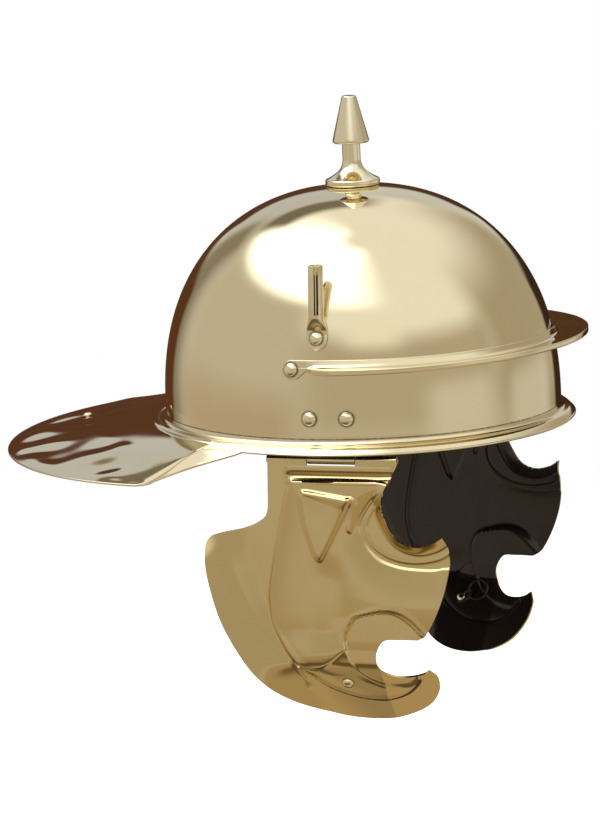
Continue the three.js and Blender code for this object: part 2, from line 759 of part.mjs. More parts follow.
function hingePlate(side) {
  const loops = [];
  const rows = [0.02, 0.2, 0.42, 0.7, 1];
  const columns = 6;
  for (const row of rows) {
    const z = lerp(knuckleRadius * 0.3, hingeBelow + leafHeight, row);
    const outer = [];
    const inner = [];
    for (let i = 0; i <= columns; i += 1) {
      const y = lerp(-leafWidth / 2, leafWidth / 2, i / columns);
      const face = wallFromHinge(y, z) + leafClear;
      outer.push(point(face, y, z));
      inner.unshift(point(face + leafSheet, y, z));
    }
    loops.push([...outer, ...inner]);
  }
  const half = leafWidth / 2;
  let solid = toSolid(loft(loops, true))
    .add(rod(onPin(-half), onPin(half), knuckleRadius))
    .subtract(rod(onPin(-hingeWidth), onPin(hingeWidth), boreRadius));
  const place = hingeMatrix(-1).invert();
  for (const { spot, normal } of hingeSpots(-1)) {
    const local = { spot: spot.clone().applyMatrix4(place), normal: normal.clone().transformDirection(place) };
    solid = solid.subtract(drill(local));
  }
  const geometry = toGeometry(solid);
  return side < 0 ? geometry : mirrored(geometry);
}

function hingeMatrix(side) {
  return new THREE.Matrix4()
    .makeRotationZ(rad(-side * hingeYaw))
    .setPosition(side * hingeSideways, -hingeForward, -hingeBelow);
}

// A strap under the tie rivet, with the eye that holds the ring, on the guard's inner face
function tieBasis() {
  const { spot, normal, forward } = tieFrame();
  const along = forward.clone().applyAxisAngle(normal, rad(tieTurn));
  const basis = new THREE.Matrix4().makeBasis(along, normal.clone().cross(along), normal);
  return basis.setPosition(spot);
}

const strapTop = -sheet - gap;
const ringLevel = strapTop - gap - eyeRadius - eyeWire;

function tieStrap() {
  const plate = new THREE.BoxGeometry(strapLength, strapWidth, strapThickness);
  plate.translate(eyeForward + eyeWire - strapLength / 2, 0, strapTop - strapThickness / 2);
  const eye = new THREE.TorusGeometry(eyeRadius, eyeWire, 6, 12).rotateX(Math.PI / 2);
  eye.translate(eyeForward, 0, ringLevel);
  const hole = { spot: point(0, 0, 0), normal: point(0, 0, 1) };
  const solid = toSolid(plate).add(toSolid(eye)).subtract(drill(hole));
  return toGeometry(solid).applyMatrix4(tieBasis());
}

function tieRing() {
  const ring = new THREE.TorusGeometry(ringRadius, ringWire, 6, 16);
  ring.translate(eyeForward + ringRadius, 0, ringLevel);
  return ring.applyMatrix4(tieBasis());
}

// Assembly
const helmet = new THREE.Group();

function add(group, name, geometry, finish) {
  const piece = new THREE.Mesh(geometry, new THREE.MeshStandardMaterial(finish));
  piece.name = name;
  group.add(piece);
  return piece;
}

function addRivet(group, name, { spot, normal }, head, height, grip) {
  const piece = add(group, name, rivet(head, height, grip), paleBrass);
  piece.position.copy(spot);
  piece.quaternion.setFromUnitVectors(point(0, 0, 1), normal);
  return piece;
}

const lifted = (place, thickness) => ({
  spot: place.spot.clone().addScaledVector(place.normal, thickness),
  normal: place.normal,
});

add(helmet, 'bowl', bowl(), brass);
add(helmet, 'brow_guard', browGuard(), brass);
add(helmet, 'crest_knob', crestKnob(), paleBrass).position.z = bowlHeight + gap;
addRivet(helmet, 'neck_rivet', neckSpot, 2.7, 1.6, sheet);

const tube = plumeTube();
for (const side of [-1, 1]) {
  const word = side < 0 ? 'right' : 'left';
  const plume = add(helmet, `plume_tube_${word}`, side < 0 ? tube.geometry : mirrored(tube.geometry), brass);
  plume.position.copy(tubeSpot(side).spot);
  plume.rotation.z = side * tube.turn;
  const tabGrip = gap + tabThickness;
  addRivet(helmet, `plume_rivet_${word}`, lifted(tubeSpot(side), tabGrip), 3.5, 2.3, sheet + tabGrip);
  const webGrip = gap + sheet;
  addRivet(helmet, `brow_rivet_${word}`, lifted(browSpot(side), webGrip), 3.6, 2.2, sheet + webGrip);
  hingeSpots(side).forEach((place, i) => {
    const name = `hinge_rivet_${i ? 'front' : 'rear'}_${word}`;
    addRivet(helmet, name, place, 3.8, 2.3, sheet + leafClear + leafSheet);
  });

  const hinge = new THREE.Group();
  hinge.position.set(side * hingeSideways, -hingeForward, -hingeBelow);
  hinge.rotation.z = rad(-side * hingeYaw);
  helmet.add(hinge);
  add(hinge, `hinge_plate_${word}`, hingePlate(side), brass);
  const pin = new THREE.CylinderGeometry(pinRadius, pinRadius, hingeWidth, roundSides);
  add(hinge, `hinge_pin_${word}`, pin, paleBrass);
  const sided = (geometry) => (side < 0 ? geometry : mirrored(geometry));
  add(hinge, `cheek_guard_${word}`, sided(cheekGuard()), goldenBrass);
  const frame = tieFrame();
  frame.spot.x *= -side;
  frame.normal.x *= -side;
  addRivet(hinge, `tie_rivet_${word}`, frame, 3.4, 2.1, sheet + gap + strapThickness);
  add(hinge, `tie_strap_${word}`, sided(tieStrap()), lacquered);
  add(hinge, `tie_ring_${word}`, sided(tieRing()), lacquered);
}

export default helmet;
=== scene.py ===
# A Roman legionary helmet in polished brass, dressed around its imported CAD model.
# Metres, +Z up, the face looks along -Y, the wearer's left is +X.
import math

import bmesh
import bpy
import numpy as np
from mathutils import Matrix, Vector
from mathutils.geometry import delaunay_2d_cdt


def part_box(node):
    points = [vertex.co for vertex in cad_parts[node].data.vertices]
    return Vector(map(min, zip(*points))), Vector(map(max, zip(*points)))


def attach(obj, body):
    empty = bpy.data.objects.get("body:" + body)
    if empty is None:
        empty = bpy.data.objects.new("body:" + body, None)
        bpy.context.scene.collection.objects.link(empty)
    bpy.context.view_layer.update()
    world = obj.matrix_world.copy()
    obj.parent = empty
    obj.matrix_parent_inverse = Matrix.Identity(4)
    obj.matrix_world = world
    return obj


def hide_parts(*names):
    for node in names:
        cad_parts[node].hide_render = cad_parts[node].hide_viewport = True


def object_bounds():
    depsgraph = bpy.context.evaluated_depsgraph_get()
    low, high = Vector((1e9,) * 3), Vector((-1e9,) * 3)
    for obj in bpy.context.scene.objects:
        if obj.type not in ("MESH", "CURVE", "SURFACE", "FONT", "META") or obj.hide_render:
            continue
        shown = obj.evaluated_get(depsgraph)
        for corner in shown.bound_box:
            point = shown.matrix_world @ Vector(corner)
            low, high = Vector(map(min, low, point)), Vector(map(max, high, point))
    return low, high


mm = 0.001
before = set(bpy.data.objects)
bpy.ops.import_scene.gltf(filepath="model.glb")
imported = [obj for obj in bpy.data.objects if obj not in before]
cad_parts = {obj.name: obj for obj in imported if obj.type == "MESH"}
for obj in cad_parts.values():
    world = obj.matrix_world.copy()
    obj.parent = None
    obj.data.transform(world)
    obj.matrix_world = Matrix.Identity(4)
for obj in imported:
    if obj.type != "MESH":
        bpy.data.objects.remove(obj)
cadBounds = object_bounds()
print("frame loaded")

# Skull bowl, rim flange and neck guard, raised from one brass sheet
bowlShape = {
    "halfLength": 112,
    "halfWidth": 101.6,
    "height": 126,
    "uprightWall": 5,
    "fullness": 2.28,
    "sheet": 1.2,
    "gap": 0.3,
    "flangeWidth": 7.3,
    "flangeDrop": 3.4,
    "filletRadius": 3.5,
    "beadRise": 0.55,
    "creaseDepth": 0.45,
    "neckWave": 0.9,
    "neckHalfWidth": 143,
    "neckReach": 93.5,
    "neckCornerBack": 70,
    "neckDrop": 15.4,
    "cornerRadius": 5,
    "neckRootBack": 27,
    "rivetInset": 32,
    "crownGap": 0.03,  # radians left open at the crown, closed by a fan
}
browShape = {
    "height": 40,
    "webHeight": 5.2,
    "reach": 18,
    "rise": 3.6,
    "lip": 2,
    "tabRadius": 5.2,
    "tabBack": 1.2,
    "tabCut": 0.985,  # where the tab's round end starts, as a share of its radius
    "flangeEnd": 11,
    "flangeRun": 12,  # how far the flange takes to reach its width
}
knobShape = {
    "baseRadius": 15.1,
    "coneRadius": 10.2,
    "neckRadius": 5,
    "tipRadius": 4,
    "bandTop": 0.062,
    "neckStart": 0.29,
    "coneStart": 0.462,
}
tubeShape = {
    "radius": 4.05,
    "wall": 0.6,
    "top": 38.8,
    "seamWidth": 2.3,
    "seamTurn": 17,
    "start": 12,
    "lean": 7,
    "tabRadius": 5.7,
    "tabThickness": 1.5,
    "forward": 14.6,
    "rivetHeight": 56,
}
hingeShape = {
    "forward": 20.6,
    "sideways": 96.5,
    "below": 8.5,
    "yaw": 5,
    "width": 72,
    "leafWidth": 26.4,
    "leafHeight": 22,
    "leafSheet": 1,
    "leafClear": 0.9,
    "boreRadius": 1.5,
    "knuckleRadius": 2.4,
    "rivetSpacing": 19.8,
    "rivetRise": 22.6,
}
guardShape = {
    "width": 132,
    "height": 150,
    "sheet": 1.2,
    "meshStep": 0.75,
    "panelRise": 0.9,
    "panelFoot": 3.2,
    "panelSlope": 1.6,
    "panelFootSlope": 3.2,
    "panelBelly": 2.1,
    "valleyDepth": 0.8,
    "mouthSlope": 3.4,
    "mouthFloor": 0.3,
    "mouthBrow": 0.5,
    "hingeBulge": 0.9,
    "troughDepth": 1.0,
    "topRidge": 0.6,
    "foldDepth": 0.8,
    "bossRise": 1.7,
    "dropRise": 0.9,
    "fieldRise": 2.2,
    "fieldSlope": 1.1,
    "tailRise": 0.5,
    "eyeLip": 4.6,
    "eyeLipWidth": 5.6,
    "eyeBead": 0.4,
    "handWave": 0.03,
    "rearFlare": 8,
    "lowerFlare": 2.5,
    "flareWidth": 26,
    "bendStart": 110,
    "bendSlope": 0.9,
    "bendRound": 5,
    "hookTurn": 0.38,
    "hookStart": 22,
}
tieShape = {
    "forward": 1.6,
    "down": 124,
    "strapThickness": 1,
    "strapWidth": 5.6,
    "strapLength": 9.4,
    "eyeRadius": 2.3,
    "eyeWire": 0.6,
    "eyeForward": 5.6,
    "turn": 25,
    "ringRadius": 6,
    "ringWire": 0.8,
}
rivetShape = {
    "headRadius": 3.6,
    "headHeight": 2.3,
    "headEdge": 0.2,
    "shankRadius": 1.5,
    "tailRadius": 2.5,
    "tailHeight": 1,
    "grip": 4.9,  # from under the head to the end of the tail
}
# Painted shade: a dark colour mixed into the brass round the rivet heads and along the crease above the rim
# flange, where contact shade falls
paintedShadeShape = {
    "colour": "57482c",
    "reach": 1.5,  # past the edge of a rivet's head
    "overlap": 0.1,
    "creaseLevel": 3.1,
    "creaseHalf": 0.35,
    "creaseStrength": 0.8,
}
sideWords = {-1: "right", 1: "left"}  # the wearer's sides


def smooth(low, high, x):
    t = np.clip((np.asarray(x, float) - low) / (high - low), 0, 1)
    return t * t * (3 - 2 * t)


def mix(a, b, t):
    return a + (b - a) * t


# Materials

def linear(code):
    parts = [int(code[i : i + 2], 16) / 255 for i in (0, 2, 4)]
    return tuple(p / 12.92 if p <= 0.04045 else ((p + 0.055) / 1.055) ** 2.4 for p in parts)


def addNode(tree, kind, settings=None, inputs=None):
    node = tree.nodes.new(kind)
    for name, value in (settings or {}).items():
        setattr(node, name, value)
    for name, value in (inputs or {}).items():
        socket = node.inputs[name]
        if isinstance(value, bpy.types.NodeSocket):
            tree.links.new(value, socket)
        else:
            socket.default_value = value
    return node


def newMaterial(name):
    material = bpy.data.materials.new(name)
    material.use_nodes = True
    tree = material.node_tree
    tree.nodes.clear()
    return material, tree


# Painted shade: a dark colour mixed into the base colour close to rivets and along the crease above the rim
# flange, where contact shade falls, broken up by noise
def paintShadeOver(tree, place, base, places):
    s = paintedShadeShape
    height = addNode(tree, "ShaderNodeSeparateXYZ", None, {"Vector": place})
    above = addNode(tree, "ShaderNodeMath", {"operation": "SUBTRACT"}, {
        0: height.outputs["Z"],
        1: s["creaseLevel"] * mm,
    })
    away = addNode(tree, "ShaderNodeMath", {"operation": "ABSOLUTE"}, {0: above.outputs[0]})
    marks = [(away.outputs[0], s["creaseHalf"] * 0.4, s["creaseHalf"] * 1.6, s["creaseStrength"])]
    for spot, reach in places:
        away = addNode(tree, "ShaderNodeVectorMath", {"operation": "DISTANCE"}, {
            0: place,
            1: tuple(spot * mm),
        })
        marks.append((away.outputs["Value"], reach - s["overlap"], reach + s["reach"], 1.0))
    total = 0.0
    for distance, near, far, strength in marks:
        mark = addNode(tree, "ShaderNodeMapRange", {"interpolation_type": "SMOOTHSTEP"}, {
            "Value": distance,
            "From Min": far * mm,
            "From Max": near * mm,
            "To Max": strength,
        })
        most = addNode(tree, "ShaderNodeMath", {"operation": "MAXIMUM"}, {
            0: total,
            1: mark.outputs["Result"],
        })
        total = most.outputs[0]
    patchy = addNode(tree, "ShaderNodeTexNoise", None, {"Vector": place, "Scale": 400.0, "Detail": 3.0})
    shadeBreakup = addNode(tree, "ShaderNodeMapRange", None, {
        "Value": patchy.outputs["Fac"],
        "From Min": 0.3,
        "From Max": 0.6,
        "To Min": 0.55,
        "To Max": 1.0,
    })
    amount = addNode(tree, "ShaderNodeMath", {"operation": "MULTIPLY"}, {
        0: total,
        1: shadeBreakup.outputs["Result"],
    })
    shadedColour = addNode(tree, "ShaderNodeMix", {"data_type": "RGBA"}, {
        "Factor": amount.outputs[0],
        "A": base,
        "B": (*linear(s["colour"]), 1),
    })
    return shadedColour.outputs["Result"]


# Brass sheet, planished and polished to a mirror: reflections stay sharp but wander a little
# Painted shade, where asked for, darkens the colour in rings round the rivets and along the crease above
# the rim flange
def polishedBrass(name, colour, roughness, waveHeight, shadePlaces=()):
    material, tree = newMaterial(name)
    place = addNode(tree, "ShaderNodeTexCoord").outputs["Object"]
    haze = addNode(tree, "ShaderNodeTexNoise", None, {"Vector": place, "Scale": 38.0, "Detail": 5.0})
    gloss = addNode(tree, "ShaderNodeMapRange", None, {
        "Value": haze.outputs["Fac"],
        "From Min": 0.3,
        "From Max": 0.75,
        "To Min": roughness * 0.75,
        "To Max": roughness * 1.35,
    })
    waves = addNode(tree, "ShaderNodeTexNoise", None, {"Vector": place, "Scale": 42.0, "Detail": 1.5})
    dents = addNode(tree, "ShaderNodeBump", None, {
        "Height": waves.outputs["Fac"],
        "Strength": 1.0,
        "Distance": waveHeight * mm,
    })
    base = (*linear(colour), 1)
    if shadePlaces:
        base = paintShadeOver(tree, place, base, shadePlaces)
    shader = addNode(tree, "ShaderNodeBsdfPrincipled", None, {
        "Base Color": base,
        "Metallic": 1.0,
        "Roughness": gloss.outputs["Result"],
        "Normal": dents.outputs["Normal"],
    })
    addNode(tree, "ShaderNodeOutputMaterial", None, {"Surface": shader.outputs["BSDF"]})
    return material


# Black lacquer brushed over the inner faces: glossy, with faint brown and grey clouding
def blackLacquer():
    material, tree = newMaterial("brushedBlackLacquer")
    place = addNode(tree, "ShaderNodeTexCoord").outputs["Object"]
    cloud = addNode(tree, "ShaderNodeTexNoise", None, {"Vector": place, "Scale": 30.0, "Detail": 4.0})
    colour = addNode(tree, "ShaderNodeMix", {"data_type": "RGBA"}, {
        "Factor": cloud.outputs["Fac"],
        "A": (*linear("14110e"), 1),
        "B": (*linear("1e1613"), 1),
    })
    bumps = addNode(tree, "ShaderNodeBump", None, {
        "Height": cloud.outputs["Fac"],
        "Strength": 0.5,
        "Distance": 0.3 * mm,
    })
    shader = addNode(tree, "ShaderNodeBsdfPrincipled", None, {
        "Base Color": colour.outputs["Result"],
        "Roughness": 0.2,
        "Normal": bumps.outputs["Normal"],
    })
    addNode(tree, "ShaderNodeOutputMaterial", None, {"Surface": shader.outputs["BSDF"]})
    return material


# Meshes

def makePiece(name, vertices, faces, materials, faceSlots=None, sharpAngle=35):
    mesh = bpy.data.meshes.new(name)
    mesh.from_pydata([tuple(map(float, v)) for v in vertices], [], faces)
    for material in materials:
        mesh.materials.append(material)
    if faceSlots is not None:
        mesh.polygons.foreach_set("material_index", faceSlots)
    work = bmesh.new()
    work.from_mesh(mesh)
    bmesh.ops.remove_doubles(work, verts=work.verts, dist=1e-7)
    bmesh.ops.dissolve_degenerate(work, edges=work.edges, dist=1e-8)
    bmesh.ops.recalc_face_normals(work, faces=work.faces)
    for face in work.faces:
        face.smooth = True
    for edge in work.edges:
        if len(edge.link_faces) == 2 and edge.calc_face_angle() > math.radians(sharpAngle):
            edge.smooth = False
    work.to_mesh(mesh)
    work.free()
    piece = bpy.data.objects.new(name, mesh)
    bpy.context.scene.collection.objects.link(piece)
    return piece


# The faces between rows of points, each row closed on itself
def bands(rows, count):
    faces = []
    for k in range(rows - 1):
        for i in range(count):
            a = k * count + i
            b = k * count + (i + 1) % count
            faces.append((a, b, b + count, a + count))
    return faces


# Vertices and faces of a closed skin through loops of points, a fan at each end
def loft(loops):
    loops = np.asarray(loops, float)
    rows, count = loops.shape[:2]
    vertices = list(loops.reshape(-1, 3))
    faces = bands(rows, count)
    for k in (0, rows - 1):
        hub = len(vertices)
        vertices.append(loops[k].mean(axis=0))
        for i in range(count):
            faces.append((hub, k * count + i, k * count + (i + 1) % count))
    return vertices, faces


# A closed skin round a ring: the last loop joins the first
def ringSkin(loops):
    loops = np.asarray(loops, float)
    rows, count = loops.shape[:2]
    faces = [tuple(i % (rows * count) for i in face) for face in bands(rows + 1, count)]
    return list(loops.reshape(-1, 3)), faces


# A sheet given as loops that run out along one face and back along the other
def sheetSkin(loops):
    loops = np.asarray(loops, float)
    rows, count = loops.shape[:2]
    faces = bands(rows, count)
    for k in (0, rows - 1):
        for i in range(count // 2 - 1):
            a = k * count + i
            d = k * count + count - 1 - i
            faces.append((a, a + 1, d - 1, d))
    return list(loops.reshape(-1, 3)), faces


def joined(*parts):
    vertices = []
    faces = []
    for partVertices, partFaces in parts:
        first = len(vertices)
        vertices.extend(partVertices)
        faces.extend(tuple(first + i for i in face) for face in partFaces)
    return vertices, faces


# Corners of a flat outline, each softened by its own radius
def softened(corners, radii, steps=4, closed=True):
    corners = [np.asarray(c, float) for c in corners]
    out = []
    last = len(corners) - 1
    for i, corner in enumerate(corners):
        if not closed and i in (0, last):
            out.append(corner)
            continue
        before = corners[i - 1] - corner
        after = corners[(i + 1) % len(corners)] - corner
        near = corner + before * min(0.48, radii[i] / max(np.linalg.norm(before), 1e-9))
        far = corner + after * min(0.48, radii[i] / max(np.linalg.norm(after), 1e-9))
        for t in np.linspace(0, 1, steps):
            out.append((1 - t) ** 2 * near + 2 * t * (1 - t) * corner + t * t * far)
    return np.array(out)


def turned(profile, sides=96):
    angles = np.linspace(0, 2 * math.pi, sides, endpoint=False)
    return [[(r * math.cos(a), r * math.sin(a), z) for a in angles] for r, z in profile]


# Hammer waves left in a flat sheet, from a few crossing ripples
def waves(x, y):
    first = np.sin(x / 8.3 + 1.4 * np.sin(y / 15.1)) * np.sin(y / 12.7 + 0.8 * np.sin(x / 13.3))
    second = np.sin(x / 5.1 - y / 17.3 + 2) * np.sin(y / 8.1 + x / 31)
    return first + 0.4 * second


# The bowl's rule: the part of the foot's outline left at a height
def share(z, inset=0.0):
    top = bowlShape["height"] - inset
    start = bowlShape["uprightWall"]
    rise = np.clip((np.asarray(z, float) - start) / (top - start), 0, 1)
    return (1 - rise ** bowlShape["fullness"]) ** (1 / bowlShape["fullness"])


def footRadius(angle, inset=0.0):
    a = bowlShape["halfLength"] - inset
    b = bowlShape["halfWidth"] - inset
    return 1 / np.hypot(np.cos(angle) / b, np.sin(angle) / a)


def bowlSpot(side, forward, z):
    left = share(z) ** 2 - (forward / bowlShape["halfLength"]) ** 2
    spot = np.array([side * bowlShape["halfWidth"] * math.sqrt(max(0, left)), -forward, z])
    slope = float(share(z + 0.5) ** 2 - share(z - 0.5) ** 2)
    normal = np.array([
        2 * spot[0] / bowlShape["halfWidth"] ** 2,
        2 * spot[1] / bowlShape["halfLength"] ** 2,
        -slope,
    ])
    return spot, normal / np.linalg.norm(normal)


def bezier(a, b, c, t):
    t = np.asarray(t)[:, None]
    return (1 - t) ** 2 * a + 2 * t * (1 - t) * b + t * t * c


# Outer edge of the flange and neck guard: x, y and z of its top
def edgeOutline():
    s = bowlShape
    a = s["halfLength"] + s["flangeWidth"]
    b = s["halfWidth"] + s["flangeWidth"]
    rearLength = s["halfLength"] + s["neckReach"] - s["neckCornerBack"]
    rootAngle = math.asin(s["neckRootBack"] / a)
    root = np.array([b * math.cos(rootAngle), s["neckRootBack"]])
    corner = np.array([s["neckHalfWidth"], s["neckCornerBack"]], float)
    bend = np.array([root[0] + 4.5, mix(root[1], corner[1], 0.65)])
    cornerStart = mix(corner, bend, s["cornerRadius"] / np.linalg.norm(corner - bend))
    front = np.linspace(-math.pi / 2, rootAngle, 84, endpoint=False)
    rows = [(b * math.cos(t), a * math.sin(t), -s["flangeDrop"]) for t in front]
    steps = np.linspace(0, 1, 24, endpoint=False)
    side = bezier(root, bend, cornerStart, steps)
    rows += [(x, y, -mix(s["flangeDrop"], s["neckDrop"], t**0.8)) for (x, y), t in zip(side, steps)]
    cornerEnd = np.array([s["neckHalfWidth"] - 0.3, s["neckCornerBack"] + s["cornerRadius"]])
    turn = bezier(cornerStart, corner, cornerEnd, np.linspace(0, 1, 8, endpoint=False))
    rows += [(x, y, -s["neckDrop"]) for x, y in turn]
    rear = np.linspace(math.asin(s["cornerRadius"] / rearLength), math.pi / 2, 84)
    rows += [
        (s["neckHalfWidth"] * math.cos(t), s["neckCornerBack"] + rearLength * math.sin(t), -s["neckDrop"])
        for t in rear
    ]
    rows += [(-x, y, z) for x, y, z in rows[-2:0:-1]]
    return np.array(rows)


def makeBowl():
    s = bowlShape
    edge = edgeOutline()
    angle = np.arctan2(edge[:, 1], edge[:, 0])
    edgeReach = np.hypot(edge[:, 0], edge[:, 1])
    foot = footRadius(angle)

    def ring(reach, z):
        return np.stack([reach * np.cos(angle), reach * np.sin(angle), z + 0 * angle], axis=1)

    def wall(t, inset):
        power = 2 / s["fullness"]
        z = s["uprightWall"] + (s["height"] - inset - s["uprightWall"]) * math.sin(t) ** power
        return ring(footRadius(angle, inset) * math.cos(t) ** power, z)

    def top(out):
        t = (out - s["filletRadius"]) / np.maximum(edgeReach - foot - s["filletRadius"], 0.01)
        return mix(-s["gap"], edge[:, 2], np.clip(t, 0, 1))

    loops = [wall(t, 0) for t in np.linspace(math.pi / 2 - s["crownGap"], 0, 56)]
    centre = s["filletRadius"] - s["gap"]
    for t in np.linspace(0, math.pi / 2, 7):
        out = s["filletRadius"] * (1 - math.cos(t))
        loops.append(ring(foot + out, centre - s["filletRadius"] * math.sin(t)))
    beadWidth = s["flangeWidth"] - s["filletRadius"]
    for t in (0.15, 0.3, 0.45, 0.6, 0.75, 0.88, 1):
        out = np.minimum(s["filletRadius"] + beadWidth * t, edgeReach - foot)
        loops.append(ring(foot + out, top(out) + s["beadRise"] * math.sin(math.pi * t)))
    flangeEnd = np.minimum(s["flangeWidth"], edgeReach - foot)
    neckWidth = edgeReach - foot - flangeEnd
    wide = smooth(0.5, 6, neckWidth)
    for t, dip in ((0.6, 1), (1.4, 0.8), (2.6, 0)):
        out = flangeEnd + np.minimum(t, neckWidth * t / 12)
        loops.append(ring(foot + out, top(out) - s["creaseDepth"] * dip * wide))
    for t in np.linspace(0.24, 1, 30):
        out = mix(flangeEnd, edgeReach - foot, t)
        loop = ring(foot + out, top(out))
        fade = wide * smooth(1, 0.9, t) * smooth(0.24, 0.4, t)
        loop[:, 2] += s["neckWave"] * fade * waves(loop[:, 0], loop[:, 1])
        loops.append(loop)
    half = s["sheet"] / 2
    for t in np.linspace(0.2, 0.8, 4) * math.pi:
        loops.append(ring(edgeReach + half * math.sin(t), edge[:, 2] - half + half * math.cos(t)))
    firstInside = len(loops)
    for t in np.linspace(1, 0, 8):
        out = mix(s["filletRadius"] + 0 * foot, edgeReach - foot, t)
        loops.append(ring(foot + out, top(out) - s["sheet"]))
    for t in np.linspace(math.pi / 2, 0, 7)[1:]:
        inner = s["filletRadius"] + s["sheet"]
        loops.append(ring(foot + s["filletRadius"] - inner * math.cos(t), centre - inner * math.sin(t)))
    loops += [wall(t, s["sheet"]) for t in np.linspace(0, math.pi / 2 - s["crownGap"], 56)]
    vertices, faces = loft(np.array(loops) * mm)
    count = len(angle)
    slots = [1 if index // count >= firstInside else 0 for index in range(count * (len(loops) - 1))]
    slots += [0] * count + [1] * count
    return makePiece("bowlShell", vertices, faces, [bowlBrass, lacquer], slots, 50)


# The brow guard's section swept round the front of the bowl
def makeBrowGuard():
    s = browShape
    b = bowlShape
    length = b["halfLength"] * float(share(s["height"]))
    roundEnd = np.sin(np.linspace(math.asin(s["tabCut"]), -math.pi / 2, 14))
    backs = -s["tabBack"] + s["tabRadius"] * roundEnd
    tabAngles = np.arccos(-backs / length)
    restAngles = np.linspace(tabAngles[-1], 0, 90)[1:]
    half = np.concatenate([tabAngles, restAngles])
    angles = np.concatenate([half, -half[-2::-1]])

    def section(angle):
        back = -length * math.cos(angle)
        fromRivet = max(0, back + s["tabBack"])
        tabHalf = math.sqrt(max(0, s["tabRadius"] ** 2 - fromRivet**2))
        tab = float(smooth(-s["flangeEnd"], -s["tabBack"] - 1, back))
        top = s["height"] + mix(s["webHeight"], tabHalf, tab)
        bottom = s["height"] - mix(0, tabHalf, tab)
        started = math.sqrt(min(1, max(0, (-s["flangeEnd"] - back) / s["flangeRun"])))
        out = 0.06 + s["reach"] * started * max(0, math.cos(0.8 * angle)) ** 1.14
        rise = s["rise"] * max(0, math.cos(angle)) * min(1, out / s["reach"])
        lip = 0.02 + s["lip"] * min(1, out / 4)
        lipSheet = min(b["sheet"], out * 0.6)
        root = min(top - 0.4, s["height"] + b["sheet"])
        stand = b["gap"] + b["sheet"]
        corners = [
            (b["gap"], bottom),
            (b["gap"], top),
            (stand, top),
            (stand, root),
            (stand + out, root + rise),
            (stand + out, s["height"] + rise - lip),
            (stand + out - lipSheet, s["height"] + rise - lip),
            (stand + out - lipSheet, s["height"] + rise - 0.01),
            (stand, min(s["height"], root - 0.3)),
            (stand, bottom - 0.02),
        ]
        radii = [0.3, 0.35, 0.35, 1.6, 0.7, 0.5, 0.5, 0.3, 1.0, 0.3]
        radii = [min(r, 0.1 + out * 0.5) if i > 2 else r for i, r in enumerate(radii)]
        outline = softened(corners, radii)
        points = []
        for outside, z in outline:
            level = float(share(z if outside <= stand + 0.05 else s["height"]))
            x = b["halfWidth"] * level * math.sin(angle)
            y = -b["halfLength"] * level * math.cos(angle)
            normal = np.array([x / b["halfWidth"] ** 2, y / b["halfLength"] ** 2])
            normal /= np.linalg.norm(normal)
            points.append((x + normal[0] * outside, y + normal[1] * outside, z))
        return points

    vertices, faces = loft(np.array([section(a) for a in angles]) * mm)
    return makePiece("browGuardBand", vertices, faces, [bowlBrass], sharpAngle=55)


# Spike knob, turned from bar: a banded foot, a flare, a neck and a cone
def makeKnob():
    s = knobShape
    low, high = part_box("crest_knob")
    base = low.z / mm + 0.25
    height = high.z / mm - base
    foot = s["baseRadius"]
    band = s["bandTop"] * height
    flare = []
    for t in np.linspace(0.04, 1, 16):
        radius = s["neckRadius"] + (foot * 0.94 - s["neckRadius"]) * (1 - t) ** 2.5
        flare.append((radius, mix(band, s["neckStart"] * height, t)))
    cone = s["coneStart"] * height
    tip = s["tipRadius"]
    lower = softened(
        [(0, 0), (foot - 0.9, -0.75), (foot, 0.2), (foot, band - 0.6), (foot * 0.95, band)],
        [0, 0.8, 0.8, 0.5, 0],
        5,
        closed=False,
    )
    upper = softened(
        [
            (s["neckRadius"], cone - 0.4),
            (s["neckRadius"], cone),
            (s["coneRadius"] * 0.93, cone + 0.1),
            (s["coneRadius"], cone + 1.2),
            (s["coneRadius"] * 0.97, cone + 2.6),
            (tip, height - 0.5),
            (tip * 0.86, height),
            (0, height),
        ],
        [0, 0.3, 0.7, 1, 1.4, 0.5, 0.4, 0],
        5,
        closed=False,
    )
    profile = [tuple(p) for p in lower] + flare + [tuple(p) for p in upper]
    profile = [(max(r, 0.01), z + base) for r, z in profile]
    vertices, faces = loft(np.array(turned(profile)) * mm)
    return makePiece("crestKnobSpike", vertices, faces, [turnedBrass], sharpAngle=50)


